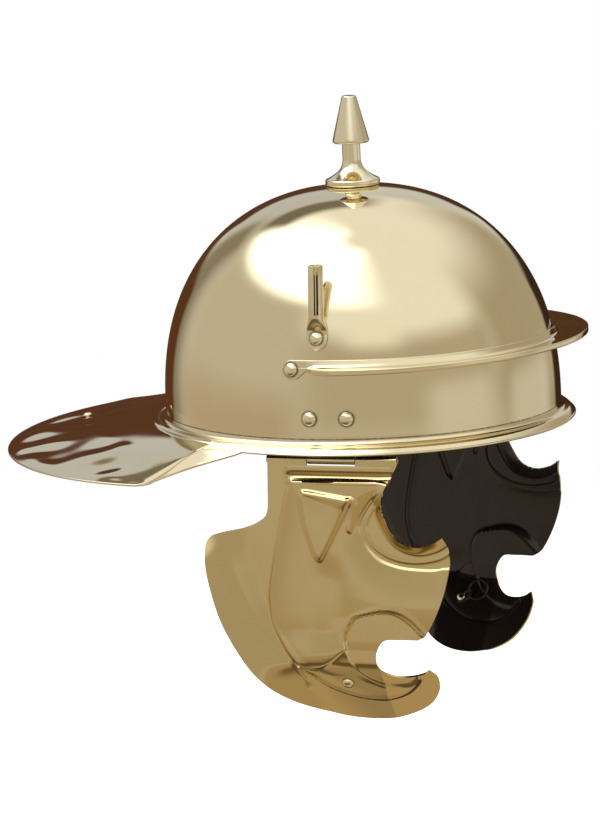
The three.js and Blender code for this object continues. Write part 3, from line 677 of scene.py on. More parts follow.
# Rolled tube with a flattened tab, leaning in as it rises
def makePlumeTube(side):
    s = tubeShape
    spot, normal = bowlSpot(-1, s["forward"], s["rivetHeight"])
    lean = math.tan(math.radians(s["lean"]))
    bowlLean = normal[2] / math.hypot(normal[0], normal[1])
    stretch = math.hypot(1, bowlLean)
    tabMiddle = (bowlShape["gap"] + s["tabThickness"] / 2) * stretch
    axis = bowlLean * -s["start"] * 1.12 + (bowlShape["gap"] + s["radius"]) * stretch
    turn = math.atan2(normal[1], -normal[0])
    sides = np.linspace(0, 2 * math.pi, 48, endpoint=False)

    def onBowl(x, y, height):
        px = x * math.cos(turn) + y * math.sin(turn)
        py = -x * math.sin(turn) + y * math.cos(turn)
        return np.stack([spot[0] + px, spot[1] + py, spot[2] + height + 0 * px], axis=1)

    def section(height, halfWidth, halfDepth, out, squareness=2.0):
        c = np.sign(np.cos(sides)) * np.abs(np.cos(sides)) ** (2 / squareness)
        d = np.sign(np.sin(sides)) * np.abs(np.sin(sides)) ** (2 / squareness)
        return onBowl(-out - halfDepth * c, halfWidth * d, height)

    loops = []
    flatTop = s["tabRadius"] * 0.68
    halfTab = s["tabThickness"] / 2
    for t in (-0.99, -0.97, -0.92, -0.82, -0.65, -0.4, 0, 0.35, 0.68):
        height = s["tabRadius"] * t
        width = s["tabRadius"] * math.sqrt(1 - min(0, t) ** 2)
        depth = halfTab * (1 if t > -0.95 else 0.6)
        loops.append(section(height, width, depth, tabMiddle - height * bowlLean, 5))
    for t in np.linspace(0.12, 1, 9):
        grown = float(smooth(0, 1, t))
        loops.append(section(
            mix(flatTop, s["start"], t),
            mix(s["tabRadius"], s["radius"], grown),
            mix(halfTab, s["radius"], grown),
            mix(tabMiddle - flatTop * bowlLean, axis, t),
            mix(5, 2, grown),
        ))
    topOut = axis - (s["top"] - s["start"]) * lean
    rollStart = 0.04  # the open roll starts this share of the way up the tube
    loops.append(section(s["start"] + 1.2, s["radius"], s["radius"], mix(axis, topOut, rollStart)))

    # the rolled sheet leaves an open seam, turned a little to the front
    facing = -math.radians(s["seamTurn"])
    half = math.asin(s["seamWidth"] / 2 / s["radius"])
    arc = np.linspace(half, 2 * math.pi - half, 60) + facing
    roll = []
    for t in (rollStart, 0.06, 0.25, 0.5, 0.75, 0.985, 1):
        thin = 0.12 if t in (rollStart, 1) else 0
        out = mix(axis, topOut, t)
        height = mix(s["start"], s["top"], t)
        ring = []
        for radius, way in ((s["radius"] - thin, arc), (s["radius"] - s["wall"] + thin, arc[::-1])):
            ring.append(onBowl(-out - radius * np.cos(way), radius * np.sin(way), height))
        roll.append(np.concatenate(ring) * mm)
    vertices, faces = joined(loft(np.array(loops) * mm), sheetSkin(roll))
    if side > 0:
        vertices = [(-v[0], v[1], v[2]) for v in vertices]
    return makePiece(f"plumeTube_{sideWords[side]}", vertices, faces, [bowlBrass], sharpAngle=45)


# Hinge frame: forward along the pin, down from it, and out from the head
def hingePoint(side, forward, down, out):
    turn = math.radians(hingeShape["yaw"])
    x = -hingeShape["sideways"] + forward * math.sin(turn) - out * math.cos(turn)
    y = -hingeShape["forward"] - forward * math.cos(turn) - out * math.sin(turn)
    z = -hingeShape["below"] - down + 0 * x
    return np.stack([-side * x, y + 0 * x, z], axis=-1)


def knuckle(side, start, end):
    angles = np.linspace(0, 2 * math.pi, 40, endpoint=False)
    outer = hingeShape["knuckleRadius"]
    bore = hingeShape["boreRadius"]
    corners = [(start, bore), (start, outer), (end, outer), (end, bore)]
    outline = softened(corners, [0.15, 0.25, 0.25, 0.15], 3)
    loops = [hingePoint(side, f + 0 * angles, r * np.sin(angles), r * np.cos(angles)) for f, r in outline]
    return ringSkin(np.array(loops) * mm)


# Leaf inside the bowl and the middle knuckle. The leaf follows the inner wall.
def makeHingeLeaf(side):
    s = hingeShape
    turn = math.radians(s["yaw"])
    a = bowlShape["halfLength"] - bowlShape["sheet"]
    b = bowlShape["halfWidth"] - bowlShape["sheet"]

    def wallOut(forward, up):
        level = float(share(max(up - s["below"], 1), bowlShape["sheet"]))
        x0 = -s["sideways"] + forward * math.sin(turn)
        y0 = -s["forward"] - forward * math.cos(turn)
        p = (math.cos(turn) / b) ** 2 + (math.sin(turn) / a) ** 2
        q = 2 * x0 * -math.cos(turn) / b**2 + 2 * y0 * -math.sin(turn) / a**2
        r = (x0 / b) ** 2 + (y0 / a) ** 2 - level**2
        return (-q + math.sqrt(max(0, q * q - 4 * p * r))) / (2 * p)

    loops = []
    columns = np.linspace(-s["leafWidth"] / 2, s["leafWidth"] / 2, 25)
    for up in np.linspace(s["knuckleRadius"] * 0.3, s["below"] + s["leafHeight"], 25):
        face = np.array([wallOut(f, up) for f in columns]) - s["leafClear"]
        outer = hingePoint(side, columns, -up, face)
        inner = hingePoint(side, columns, -up, face - s["leafSheet"])
        loops.append(np.concatenate([outer, inner[::-1]]) * mm)
    half = s["leafWidth"] / 2
    vertices, faces = joined(sheetSkin(loops), knuckle(side, -half, half))
    return makePiece(f"hingeLeaf_{sideWords[side]}", vertices, faces, [bowlBrass], sharpAngle=40)


# Cheek guard outline: shares of its width forward of the hinge's middle, and of its height down
guardCorners = [
    {"run": "eye", "forward": 0.277, "down": 0},
    {"run": "eye", "forward": 0.272, "down": 0.02},
    {"run": "eye", "forward": 0.224, "down": 0.1},
    {"run": "eye", "forward": 0.212, "down": 0.165},
    {"run": "eye", "forward": 0.238, "down": 0.23},
    {"run": "eye", "forward": 0.282, "down": 0.281},
    {"run": "eye", "forward": 0.348, "down": 0.3},
    {"run": "eye", "forward": 0.415, "down": 0.287},
    {"run": "eye", "forward": 0.461, "down": 0.262},
    {"run": "cheek", "forward": 0.461, "down": 0.262},
    {"run": "cheek", "forward": 0.479, "down": 0.35},
    {"run": "cheek", "forward": 0.46, "down": 0.45},
    {"run": "cheek", "forward": 0.42, "down": 0.545},
    {"run": "cheek", "forward": 0.372, "down": 0.621},
    {"run": "cheek", "forward": 0.335, "down": 0.644},
    {"run": "mouth", "forward": 0.335, "down": 0.644},
    {"run": "mouth", "forward": 0.25, "down": 0.646},
    {"run": "mouth", "forward": 0.19, "down": 0.653},
    {"run": "mouth", "forward": 0.154, "down": 0.7},
    {"run": "mouth", "forward": 0.158, "down": 0.75},
    {"run": "mouth", "forward": 0.192, "down": 0.786},
    {"run": "mouth", "forward": 0.25, "down": 0.802},
    {"run": "mouth", "forward": 0.318, "down": 0.794},
    {"run": "mouth", "forward": 0.356, "down": 0.775},
    {"run": "jaw", "forward": 0.356, "down": 0.775},
    {"run": "jaw", "forward": 0.379, "down": 0.812},
    {"run": "jaw", "forward": 0.368, "down": 0.87},
    {"run": "jaw", "forward": 0.315, "down": 0.935},
    {"run": "jaw", "forward": 0.22, "down": 0.98},
    {"run": "jaw", "forward": 0.09, "down": 1},
    {"run": "jaw", "forward": -0.05, "down": 0.985},
    {"run": "jaw", "forward": -0.175, "down": 0.93},
    {"run": "jaw", "forward": -0.308, "down": 0.828},
    {"run": "jaw", "forward": -0.406, "down": 0.718},
    {"run": "jaw", "forward": -0.484, "down": 0.588},
    {"run": "jaw", "forward": -0.527, "down": 0.45},
    {"run": "jaw", "forward": -0.541, "down": 0.337},
    {"run": "jaw", "forward": -0.53, "down": 0.29},
    {"run": "jaw", "forward": -0.486, "down": 0.27},
    {"run": "jaw", "forward": -0.38, "down": 0.251},
    {"run": "jaw", "forward": -0.314, "down": 0.225},
    {"run": "jaw", "forward": -0.28, "down": 0.19},
    {"run": "jaw", "forward": -0.272, "down": 0.1},
    {"run": "jaw", "forward": -0.268, "down": 0},
]
# Relief lines, in the same shares
panelCorners = [
    (-0.172, 0.075), (-0.19, 0.11), (-0.216, 0.2), (-0.24, 0.289), (-0.262, 0.369), (-0.28, 0.449),
    (-0.288, 0.519), (-0.278, 0.598), (-0.248, 0.657), (-0.21, 0.711), (-0.172, 0.752), (-0.13, 0.77),
    (-0.086, 0.766), (-0.03, 0.737), (0.02, 0.7), (0.1, 0.66), (0.3, 0.66), (0.62, 0.64), (0.6, 0.384),
    (0.474, 0.377), (0.412, 0.385), (0.323, 0.384), (0.255, 0.375), (0.19, 0.353), (0.146, 0.316),
    (0.115, 0.268), (0.112, 0.219), (0.142, 0.169), (0.19, 0.119), (0.246, 0.075),
]
mouthRing = [
    (0.4, 0.652), (0.355, 0.624), (0.312, 0.582), (0.268, 0.555), (0.222, 0.542), (0.178, 0.543),
    (0.13, 0.552), (0.074, 0.568), (0.044, 0.604), (0.03, 0.646), (0.034, 0.69), (0.05, 0.73),
    (0.076, 0.773), (0.12, 0.808), (0.183, 0.833), (0.245, 0.836), (0.29, 0.818), (0.323, 0.79),
    (0.37, 0.74),
]
fieldCorners = [
    (-0.19, 0.748), (-0.14, 0.76), (-0.086, 0.756), (-0.03, 0.727), (0.03, 0.69), (0.12, 0.72),
    (0.18, 0.8), (0.25, 0.81), (0.3, 0.8), (0.306, 0.818), (0.281, 0.848), (0.241, 0.878),
    (0.183, 0.898), (0.114, 0.903), (0.047, 0.896), (-0.016, 0.876), (-0.075, 0.846), (-0.13, 0.8),
]
bossCorners = [
    (-0.131, 0.128), (-0.124, 0.113), (-0.104, 0.109), (0.06, 0.13), (0.078, 0.136), (0.074, 0.15),
    (0.053, 0.182), (-0.003, 0.279), (-0.046, 0.348), (-0.06, 0.36), (-0.072, 0.35), (-0.086, 0.326),
    (-0.116, 0.242), (-0.13, 0.17),
]
facetTop = [(-0.131, 0.11), (0.078, 0.134)]
ringLine = [
    (0.262, 0.089), (0.21, 0.126), (0.168, 0.17), (0.134, 0.228), (0.146, 0.282), (0.184, 0.32),
    (0.25, 0.35), (0.339, 0.36), (0.43, 0.346), (0.48, 0.322),
]
dropCorners = [
    (0.066, 0.131), (0.086, 0.128), (0.106, 0.146), (0.102, 0.184), (0.088, 0.228), (0.074, 0.256),
    (0.06, 0.246), (0.062, 0.226), (0.074, 0.2), (0.08, 0.168),
]
foldLine = [(-0.456, 0.295), (-0.424, 0.421), (-0.364, 0.55), (-0.248, 0.699), (-0.155, 0.825)]
tailLine = [(-0.182, 0.75), (-0.156, 0.79), (-0.146, 0.846)]


def sized(pairs):
    return np.array(pairs, float) * [guardShape["width"], guardShape["height"]]


# A smooth curve through points, as a Catmull-Rom spline
def curveThrough(points, spacing=0.6):
    padded = np.vstack([2 * points[0] - points[1], points, 2 * points[-1] - points[-2]])
    out = [points[0]]
    for i in range(len(points) - 1):
        p0, p1, p2, p3 = padded[i : i + 4]
        steps = max(2, int(np.linalg.norm(p2 - p1) / spacing))
        for t in np.arange(1, steps + 1) / steps:
            out.append(0.5 * (
                2 * p1 + (p2 - p0) * t + (2 * p0 - 5 * p1 + 4 * p2 - p3) * t**2
                + (3 * p1 - p0 - 3 * p2 + p3) * t**3
            ))
    return np.array(out)


def guardRun(name):
    return curveThrough(sized([(c["forward"], c["down"]) for c in guardCorners if c["run"] == name]))


eyeEdge = guardRun("eye")
mouthEdge = guardRun("mouth")
jawEdge = guardRun("jaw")


def distanceTo(spots, line, closed=False):
    best = np.full(len(spots), 1e9)
    ends = np.vstack([line, line[:1]]) if closed else line
    for a, b in zip(ends[:-1], ends[1:]):
        along = b - a
        t = np.clip(((spots - a) @ along) / max(along @ along, 1e-12), 0, 1)
        best = np.minimum(best, np.hypot(*(spots - a - t[:, None] * along).T))
    return best


def insideOf(spots, outline):
    odd = np.zeros(len(spots), bool)
    for a, b in zip(outline, np.roll(outline, -1, axis=0)):
        if a[1] == b[1]:
            continue
        crosses = (a[1] > spots[:, 1]) != (b[1] > spots[:, 1])
        odd ^= crosses & (spots[:, 0] < a[0] + (spots[:, 1] - a[1]) * (b[0] - a[0]) / (b[1] - a[1]))
    return odd


def depthInside(spots, outline):
    return distanceTo(spots, outline, True) * np.where(insideOf(spots, outline), 1, -1)


def closedCurve(corners):
    points = sized(corners)
    return curveThrough(np.vstack([points, points[:1]]), 1.5)[:-1]


def bump(x, centre, width):
    return np.exp(-(((x - centre) / width) ** 2))


# How far the guard's outer face stands out from the hinge pin
def guardFace(spots):
    s = guardShape
    forward, down = spots.T
    past = np.maximum(0, down - s["bendStart"])
    bend = s["bendSlope"] * (np.hypot(past, s["bendRound"]) - s["bendRound"])
    face = hingeShape["knuckleRadius"] - bend * smooth(-60, -10, forward)
    face = face - s["hookTurn"] * np.maximum(0, forward - s["hookStart"]) * smooth(98, 118, down)

    # the flange behind the panel flares outward past a soft fold
    flareLine = np.vstack([sized([(-0.53, -0.05), (-0.541, 0.2)]), jawEdge[jawEdge[:, 1] > 50][::-1]])
    rim = np.maximum(0, 1 - distanceTo(spots, flareLine) / s["flareWidth"])
    lift = mix(s["lowerFlare"], s["rearFlare"], smooth(20, -45, forward))
    face = face + lift * rim**1.25 * smooth(30, 60, down)
    toFold = distanceTo(spots, curveThrough(sized(foldLine), 2))
    face = face - s["foldDepth"] * np.exp(-toFold / 5) * smooth(44, 60, down)

    # the raised panel, its own belly, and the soft valley down its front half
    depth = depthInside(spots, closedCurve(panelCorners))
    foot = smooth(92, 108, down)
    rise = mix(s["panelRise"], s["panelFoot"], foot)
    edge = mix(s["panelSlope"], s["panelFootSlope"], foot) / 2
    belly = s["panelBelly"] * (1 - np.exp(-np.maximum(0, depth) / 8))
    panel = rise * smooth(-edge, edge, depth) + belly
    valley = bump(forward, mix(-2, 5, smooth(55, 90, down)), 8)
    panel = panel - s["valleyDepth"] * valley * smooth(48, 66, down) * smooth(98, 84, down)

    # a dished crescent round the mouth, its upper bevel widening to the front
    ring = depthInside(spots, closedCurve(mouthRing))
    slope = mix(1.1, s["mouthSlope"], smooth(10, 42, forward)) / 2
    inRing = np.clip((ring + slope) / (2 * slope), 0, 1)
    floor = mix(s["mouthFloor"], -0.7, smooth(98, 112, down))
    panel = panel * (1 - inRing) + floor * inRing
    panel = panel + s["mouthBrow"] * bump(ring, -slope - 0.6, 0.9) * smooth(104, 92, down)

    # the field under the panel climbs to a sharp lower crest
    low = depthInside(spots, closedCurve(fieldCorners))
    crest = s["fieldRise"] * np.exp(-np.maximum(0, low) / 6) + 0.25
    field = crest * smooth(-s["fieldSlope"] / 2, s["fieldSlope"] / 2, low) * (1 - inRing)
    face = face + np.maximum(panel, field)

    # the dished band between the hinge and the panel's top ridge
    across = smooth(-27, -21, forward) * smooth(39, 32, forward)
    face = face + across * s["hingeBulge"] * bump(down, 4.8, 2.1)
    face = face - across * s["troughDepth"] * bump(down, 8.4, 1.3)
    face = face + across * s["topRidge"] * bump(down, 11.4, 1.5)

    # the triangle: a rounded rise whose upper facet widens to the front
    boss = depthInside(spots, closedCurve(bossCorners))
    (x0, y0), (x1, y1) = sized(facetTop)
    fromTop = down - mix(y0, y1, (forward - x0) / (x1 - x0))
    facet = np.clip(fromTop / np.maximum(1.5, 1.5 + 5.5 * (forward - x0) / (x1 - x0)), 0, 1)
    face = face + s["bossRise"] * smooth(-1.4, 1.6, boss) * (1.2 - 0.5 * facet)
    drop = depthInside(spots, closedCurve(dropCorners))
    face = face + s["dropRise"] * smooth(-0.7, 0.7, drop)

    # the eye border: a fine ridge, a dished band and a lip that turns outward
    fromEye = distanceTo(spots, eyeEdge)
    under = smooth(8, 20, down)
    lip = np.maximum(0, 1 - fromEye / s["eyeLipWidth"])
    face = face + s["eyeLip"] * lip**1.3 * under
    face = face + s["eyeBead"] * bump(distanceTo(spots, curveThrough(sized(ringLine), 1)), 0, 0.8)
    face = face + s["tailRise"] * bump(distanceTo(spots, curveThrough(sized(tailLine), 1)), 0, 1.4)
    ripple = np.sin(forward / 7.3 + 1.1 * np.sin(down / 11)) * np.sin(down / 8.7 + 0.6)
    return face + s["handWave"] * ripple


# The guard's flat pattern: its outline, then a grid inside it
def guardPattern():
    half = hingeShape["leafWidth"] / 2 + bowlShape["gap"]
    notch = hingeShape["knuckleRadius"] + bowlShape["gap"] / 2
    top = np.array([jawEdge[-1], (-half, 0), (-half, notch), (half, notch), (half, 0), eyeEdge[0]])
    topRun = []
    for a, b in zip(top[:-1], top[1:]):
        steps = max(1, int(np.linalg.norm(b - a)))
        topRun += [mix(a, b, t) for t in np.arange(1, steps + 1) / steps]
    outline = np.vstack([eyeEdge, guardRun("cheek")[1:], mouthEdge[1:], jawEdge[1:], np.array(topRun)[:-1]])
    step = guardShape["meshStep"]
    low = outline.min(axis=0)
    high = outline.max(axis=0)
    rowStep = step * 0.87  # near the height of an even triangle
    columns, rows = np.meshgrid(np.arange(low[0], high[0], step), np.arange(low[1], high[1], rowStep))
    columns = columns + (np.arange(len(columns)) % 2)[:, None] * step / 2
    grid = np.stack([columns.ravel(), rows.ravel()], axis=1)
    grid = grid[depthInside(grid, outline) > step * 0.45]
    spots = [Vector(p) for p in np.vstack([outline, grid])]
    found = delaunay_2d_cdt(spots, [], [list(range(len(outline)))], 1, 1e-5)
    return np.array([tuple(v) for v in found[0]]), [tuple(f) for f in found[2]]


pattern = guardPattern()
print("cheek guard pattern", len(pattern[0]), "points")


def makeCheekGuard(side):
    spots, faces = pattern
    face = guardFace(spots)
    step = 0.15
    slopeForward = (guardFace(spots + [step, 0]) - guardFace(spots - [step, 0])) / (2 * step)
    slopeDown = (guardFace(spots + [0, step]) - guardFace(spots - [0, step])) / (2 * step)
    size = np.sqrt(1 + slopeForward**2 + slopeDown**2)
    outer = hingePoint(side, spots[:, 0], spots[:, 1], face)
    thick = guardShape["sheet"]
    inner = hingePoint(
        side,
        spots[:, 0] + thick * slopeForward / size,
        spots[:, 1] + thick * slopeDown / size,
        face - thick / size,
    )
    count = len(spots)
    rimEdges = {}
    for f in faces:
        for a, b in zip(f, f[1:] + f[:1]):
            key = (min(a, b), max(a, b))
            rimEdges[key] = None if key in rimEdges else (a, b)
    rim = [pair for pair in rimEdges.values() if pair]
    allFaces = list(faces) + [tuple(count + i for i in reversed(f)) for f in faces]
    allFaces += [(b, a, a + count, b + count) for a, b in rim]
    slots = [0] * len(faces) + [1] * len(faces) + [0] * len(rim)
    half = hingeShape["leafWidth"] / 2 + 2 * bowlShape["gap"]
    end = hingeShape["width"] / 2
    vertices = list(np.vstack([outer, inner]) * mm)
    rolls = joined(knuckle(side, -end, -half), knuckle(side, half, end))
    vertices, allFaces = joined((vertices, allFaces), rolls)
    slots += [0] * len(rolls[1])
    name = f"cheekGuardSheet_{sideWords[side]}"
    return makePiece(name, vertices, allFaces, [guardBrass, lacquer], slots, 40)


# The tie rivet's frame on a guard: where it is, and the ways along, across and out
def tieFrame(side):
    s = tieShape
    spots = np.array([s["forward"], s["down"]]) + np.array([(0, 0), (1, 0), (0, 1)])
    here, onward, lower = hingePoint(side, spots[:, 0], spots[:, 1], guardFace(spots))
    along = (onward - here) / np.linalg.norm(onward - here)
    normal = np.cross(along, (lower - here) / np.linalg.norm(lower - here))
    if normal[0] * side < 0:
        normal = -normal
    normal = normal / np.linalg.norm(normal)
    turn = math.radians(s["turn"]) * -side
    along = Matrix.Rotation(turn, 3, Vector(normal)) @ Vector(along)
    return here, np.array(along), np.cross(normal, np.array(along)), normal


def torus(radius, wire, centre, first, second, axis, sides=64):
    tube = np.linspace(0, 2 * math.pi, 20, endpoint=False)
    loops = []
    for t in np.linspace(0, 2 * math.pi, sides, endpoint=False):
        out = math.cos(t) * first + math.sin(t) * second
        middle = centre + out * radius
        loops.append([middle + out * wire * math.cos(q) + axis * wire * math.sin(q) for q in tube])
    return ringSkin(np.array(loops) * mm)


def makeTieFittings(side):
    s = tieShape
    here, along, across, normal = tieFrame(side)
    strapTop = -guardShape["sheet"] - bowlShape["gap"]
    level = strapTop - bowlShape["gap"] - s["eyeRadius"] - s["eyeWire"]
    end = s["eyeForward"] + s["eyeWire"]
    start = end - s["strapLength"]
    half = s["strapWidth"] / 2
    plate = softened([(start, -half), (end, -half), (end, half), (start, half)], [1.6] * 4, 6)
    loops = []
    for inset, depth in ((0.25, 0), (0, 0.2), (0, s["strapThickness"] - 0.2), (0.25, s["strapThickness"])):
        middle = plate.mean(axis=0)
        shrunk = middle + (plate - middle) * (1 - inset / 3)
        loops.append([here + along * p + across * q + normal * (strapTop - depth) for p, q in shrunk])
    eyeCentre = here + along * s["eyeForward"] + normal * level
    eye = torus(s["eyeRadius"], s["eyeWire"], eyeCentre, along, normal, across, 48)
    vertices, faces = joined(loft(np.array(loops) * mm), eye)
    strap = makePiece(f"tieStrapEye_{sideWords[side]}", vertices, faces, [lacquer], sharpAngle=40)
    centre = here + along * (s["eyeForward"] + s["ringRadius"]) + normal * level
    vertices, faces = torus(s["ringRadius"], s["ringWire"], centre, along, across, normal)
    ring = makePiece(f"tieRingWire_{sideWords[side]}", vertices, faces, [lacquer], sharpAngle=60)
    return strap, ring


# Domed rivets, set on points that carry their outward way and size
def rivetTree():
    tree = bpy.data.node_groups.new("domedRivets", "GeometryNodeTree")
    face = tree.interface
    face.new_socket(name="Geometry", in_out="INPUT", socket_type="NodeSocketGeometry")
    shape = face.new_socket(name="Rivet", in_out="INPUT", socket_type="NodeSocketObject")
    metal = face.new_socket(name="Metal", in_out="INPUT", socket_type="NodeSocketMaterial")
    face.new_socket(name="Geometry", in_out="OUTPUT", socket_type="NodeSocketGeometry")
    start = addNode(tree, "NodeGroupInput")
    info = addNode(tree, "GeometryNodeObjectInfo", None, {"Object": start.outputs["Rivet"]})
    attribute = "GeometryNodeInputNamedAttribute"
    outward = addNode(tree, attribute, {"data_type": "FLOAT_VECTOR"}, {"Name": "outward"})
    size = addNode(tree, attribute, {"data_type": "FLOAT"}, {"Name": "size"})
    turn = addNode(tree, "FunctionNodeAlignRotationToVector", {"axis": "Z"}, {
        "Vector": outward.outputs["Attribute"],
    })
    spots = addNode(tree, "GeometryNodeMeshToPoints", None, {"Mesh": start.outputs["Geometry"]})
    placed = addNode(tree, "GeometryNodeInstanceOnPoints", None, {
        "Points": spots.outputs["Points"],
        "Instance": info.outputs["Geometry"],
        "Rotation": turn.outputs["Rotation"],
        "Scale": size.outputs["Attribute"],
    })
    real = addNode(tree, "GeometryNodeRealizeInstances", None, {"Geometry": placed.outputs["Instances"]})
    metalled = addNode(tree, "GeometryNodeSetMaterial", None, {
        "Geometry": real.outputs["Geometry"],
        "Material": start.outputs["Metal"],
    })
    addNode(tree, "NodeGroupOutput", None, {"Geometry": metalled.outputs["Geometry"]})
    return tree, shape.identifier, metal.identifier


def makeRivetShape():
    s = rivetShape
    profile = [
        (0.01, -s["grip"]),
        (s["tailRadius"] * 0.8, -s["grip"]),
        (s["tailRadius"], 0.4 - s["grip"]),
        (s["tailRadius"], s["tailHeight"] - s["grip"]),
        (s["shankRadius"], s["tailHeight"] - s["grip"]),
        (s["shankRadius"], 0),
        (s["headRadius"] - 0.15, 0),
        (s["headRadius"], s["headEdge"]),
    ]
    dome = s["headHeight"] - s["headEdge"]
    for t in np.linspace(0.12, 1, 10) * math.pi / 2:
        profile.append((max(0.01, s["headRadius"] * math.cos(t)), s["headEdge"] + dome * math.sin(t)))
    vertices, faces = loft(np.array(turned(profile, 40)) * mm)
    return makePiece("rivetPattern", vertices, faces, [turnedBrass], sharpAngle=45)


def makeRivets(name, places):
    mesh = bpy.data.meshes.new(name)
    mesh.from_pydata([tuple(spot * mm) for spot, normal, size in places], [], [])
    outward = mesh.attributes.new("outward", "FLOAT_VECTOR", "POINT")
    outward.data.foreach_set("vector", np.array([normal for spot, normal, size in places]).ravel())
    sizes = mesh.attributes.new("size", "FLOAT", "POINT")
    sizes.data.foreach_set("value", [size for spot, normal, size in places])
    piece = bpy.data.objects.new(name, mesh)
    bpy.context.scene.collection.objects.link(piece)
    modifier = piece.modifiers.new("rivets", "NODES")
    modifier.node_group = rivetNodes
    modifier[rivetSocket] = rivetPattern
    modifier[metalSocket] = turnedBrass
    bpy.context.view_layer.update()
    ready = piece.evaluated_get(bpy.context.evaluated_depsgraph_get())
    piece.data = bpy.data.meshes.new_from_object(ready)
    piece.modifiers.remove(modifier)
    piece.data.name = name
    return piece


def lifted(place, distance, size):
    spot, normal = place
    return spot + normal * distance, normal, size


def helmetRivetPlaces():
    places = []
    webTop = 2 * bowlShape["gap"] + bowlShape["sheet"]
    tabTop = 2 * bowlShape["gap"] + tubeShape["tabThickness"]
    for side in (-1, 1):
        places.append(lifted(bowlSpot(side, browShape["tabBack"], browShape["height"]), webTop, 1))
        places.append(lifted(bowlSpot(side, tubeShape["forward"], tubeShape["rivetHeight"]), tabTop, 0.97))
        for part in (-0.5, 0.5):
            forward = hingeShape["forward"] + part * hingeShape["rivetSpacing"]
            height = hingeShape["rivetRise"] - hingeShape["below"]
            places.append(lifted(bowlSpot(side, forward, height), bowlShape["gap"], 1.05))
    back = bowlShape["halfLength"] + bowlShape["neckReach"] - bowlShape["rivetInset"]
    drop = bowlShape["neckDrop"] * (back - bowlShape["halfLength"]) / bowlShape["neckReach"]
    normal = np.array([0, bowlShape["neckDrop"], bowlShape["neckReach"]])
    normal = normal / np.linalg.norm(normal)
    places.append((np.array([0, back, -drop]) + normal * bowlShape["gap"], normal, 0.74))
    return places


# Dress the frame
rivetPlaces = helmetRivetPlaces()
# Painted shade: a dark ring round each rivet head, painted into the bowl brass's colour
shadePlaces = [(spot, rivetShape["headRadius"] * size) for spot, normal, size in rivetPlaces]
bowlBrass = polishedBrass("mirrorPolishedPaleBrass", "ebdfbf", 0.07, 0.03, shadePlaces)
guardBrass = polishedBrass("mirrorPolishedGoldenBrass", "dbc898", 0.09, 0.03)
turnedBrass = polishedBrass("turnedPolishedBrass", "f5ecd0", 0.08, 0.0)
lacquer = blackLacquer()
rivetNodes, rivetSocket, metalSocket = rivetTree()
rivetPattern = makeRivetShape()
print("materials made")

bowlShell = makeBowl()
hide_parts("bowl")
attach(bowlShell, "helmet")
print("bowl and neck guard made")

browBand = makeBrowGuard()
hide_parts("brow_guard")
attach(browBand, "helmet")

knobSpike = makeKnob()
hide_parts("crest_knob")
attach(knobSpike, "helmet")

for side, word in sideWords.items():
    tube = makePlumeTube(side)
    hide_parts(f"plume_tube_{word}")
    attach(tube, "helmet")
    leaf = makeHingeLeaf(side)
    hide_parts(f"hinge_plate_{word}")
    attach(leaf, "helmet")
    guard = makeCheekGuard(side)
    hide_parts(f"cheek_guard_{word}")
    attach(guard, f"{word}_guard")
    strap, ring = makeTieFittings(side)
    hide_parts(f"tie_strap_{word}")
    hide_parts(f"tie_ring_{word}")
    for piece in (strap, ring):
        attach(piece, f"{word}_guard")
    here, along, across, normal = tieFrame(side)
    tieRivet = makeRivets(f"tieRivetDome_{word}", [(here + normal * bowlShape["gap"], normal, 0.93)])
    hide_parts(f"tie_rivet_{word}")
    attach(tieRivet, f"{word}_guard")
    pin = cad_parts[f"hinge_pin_{word}"]
    pin.data.materials.clear()
    pin.data.materials.append(turnedBrass)
    print(word, "side made")

helmetRivets = makeRivets("helmetRivetDomes", rivetPlaces)
rivetNames = ["neck_rivet"]
for word in sideWords.values():
    rivetNames += [f"plume_rivet_{word}", f"brow_rivet_{word}"]
    rivetNames += [f"hinge_rivet_front_{word}", f"hinge_rivet_rear_{word}"]
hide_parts(*rivetNames)
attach(helmetRivets, "helmet")
bpy.data.objects.remove(rivetPattern)
print("rivets made")

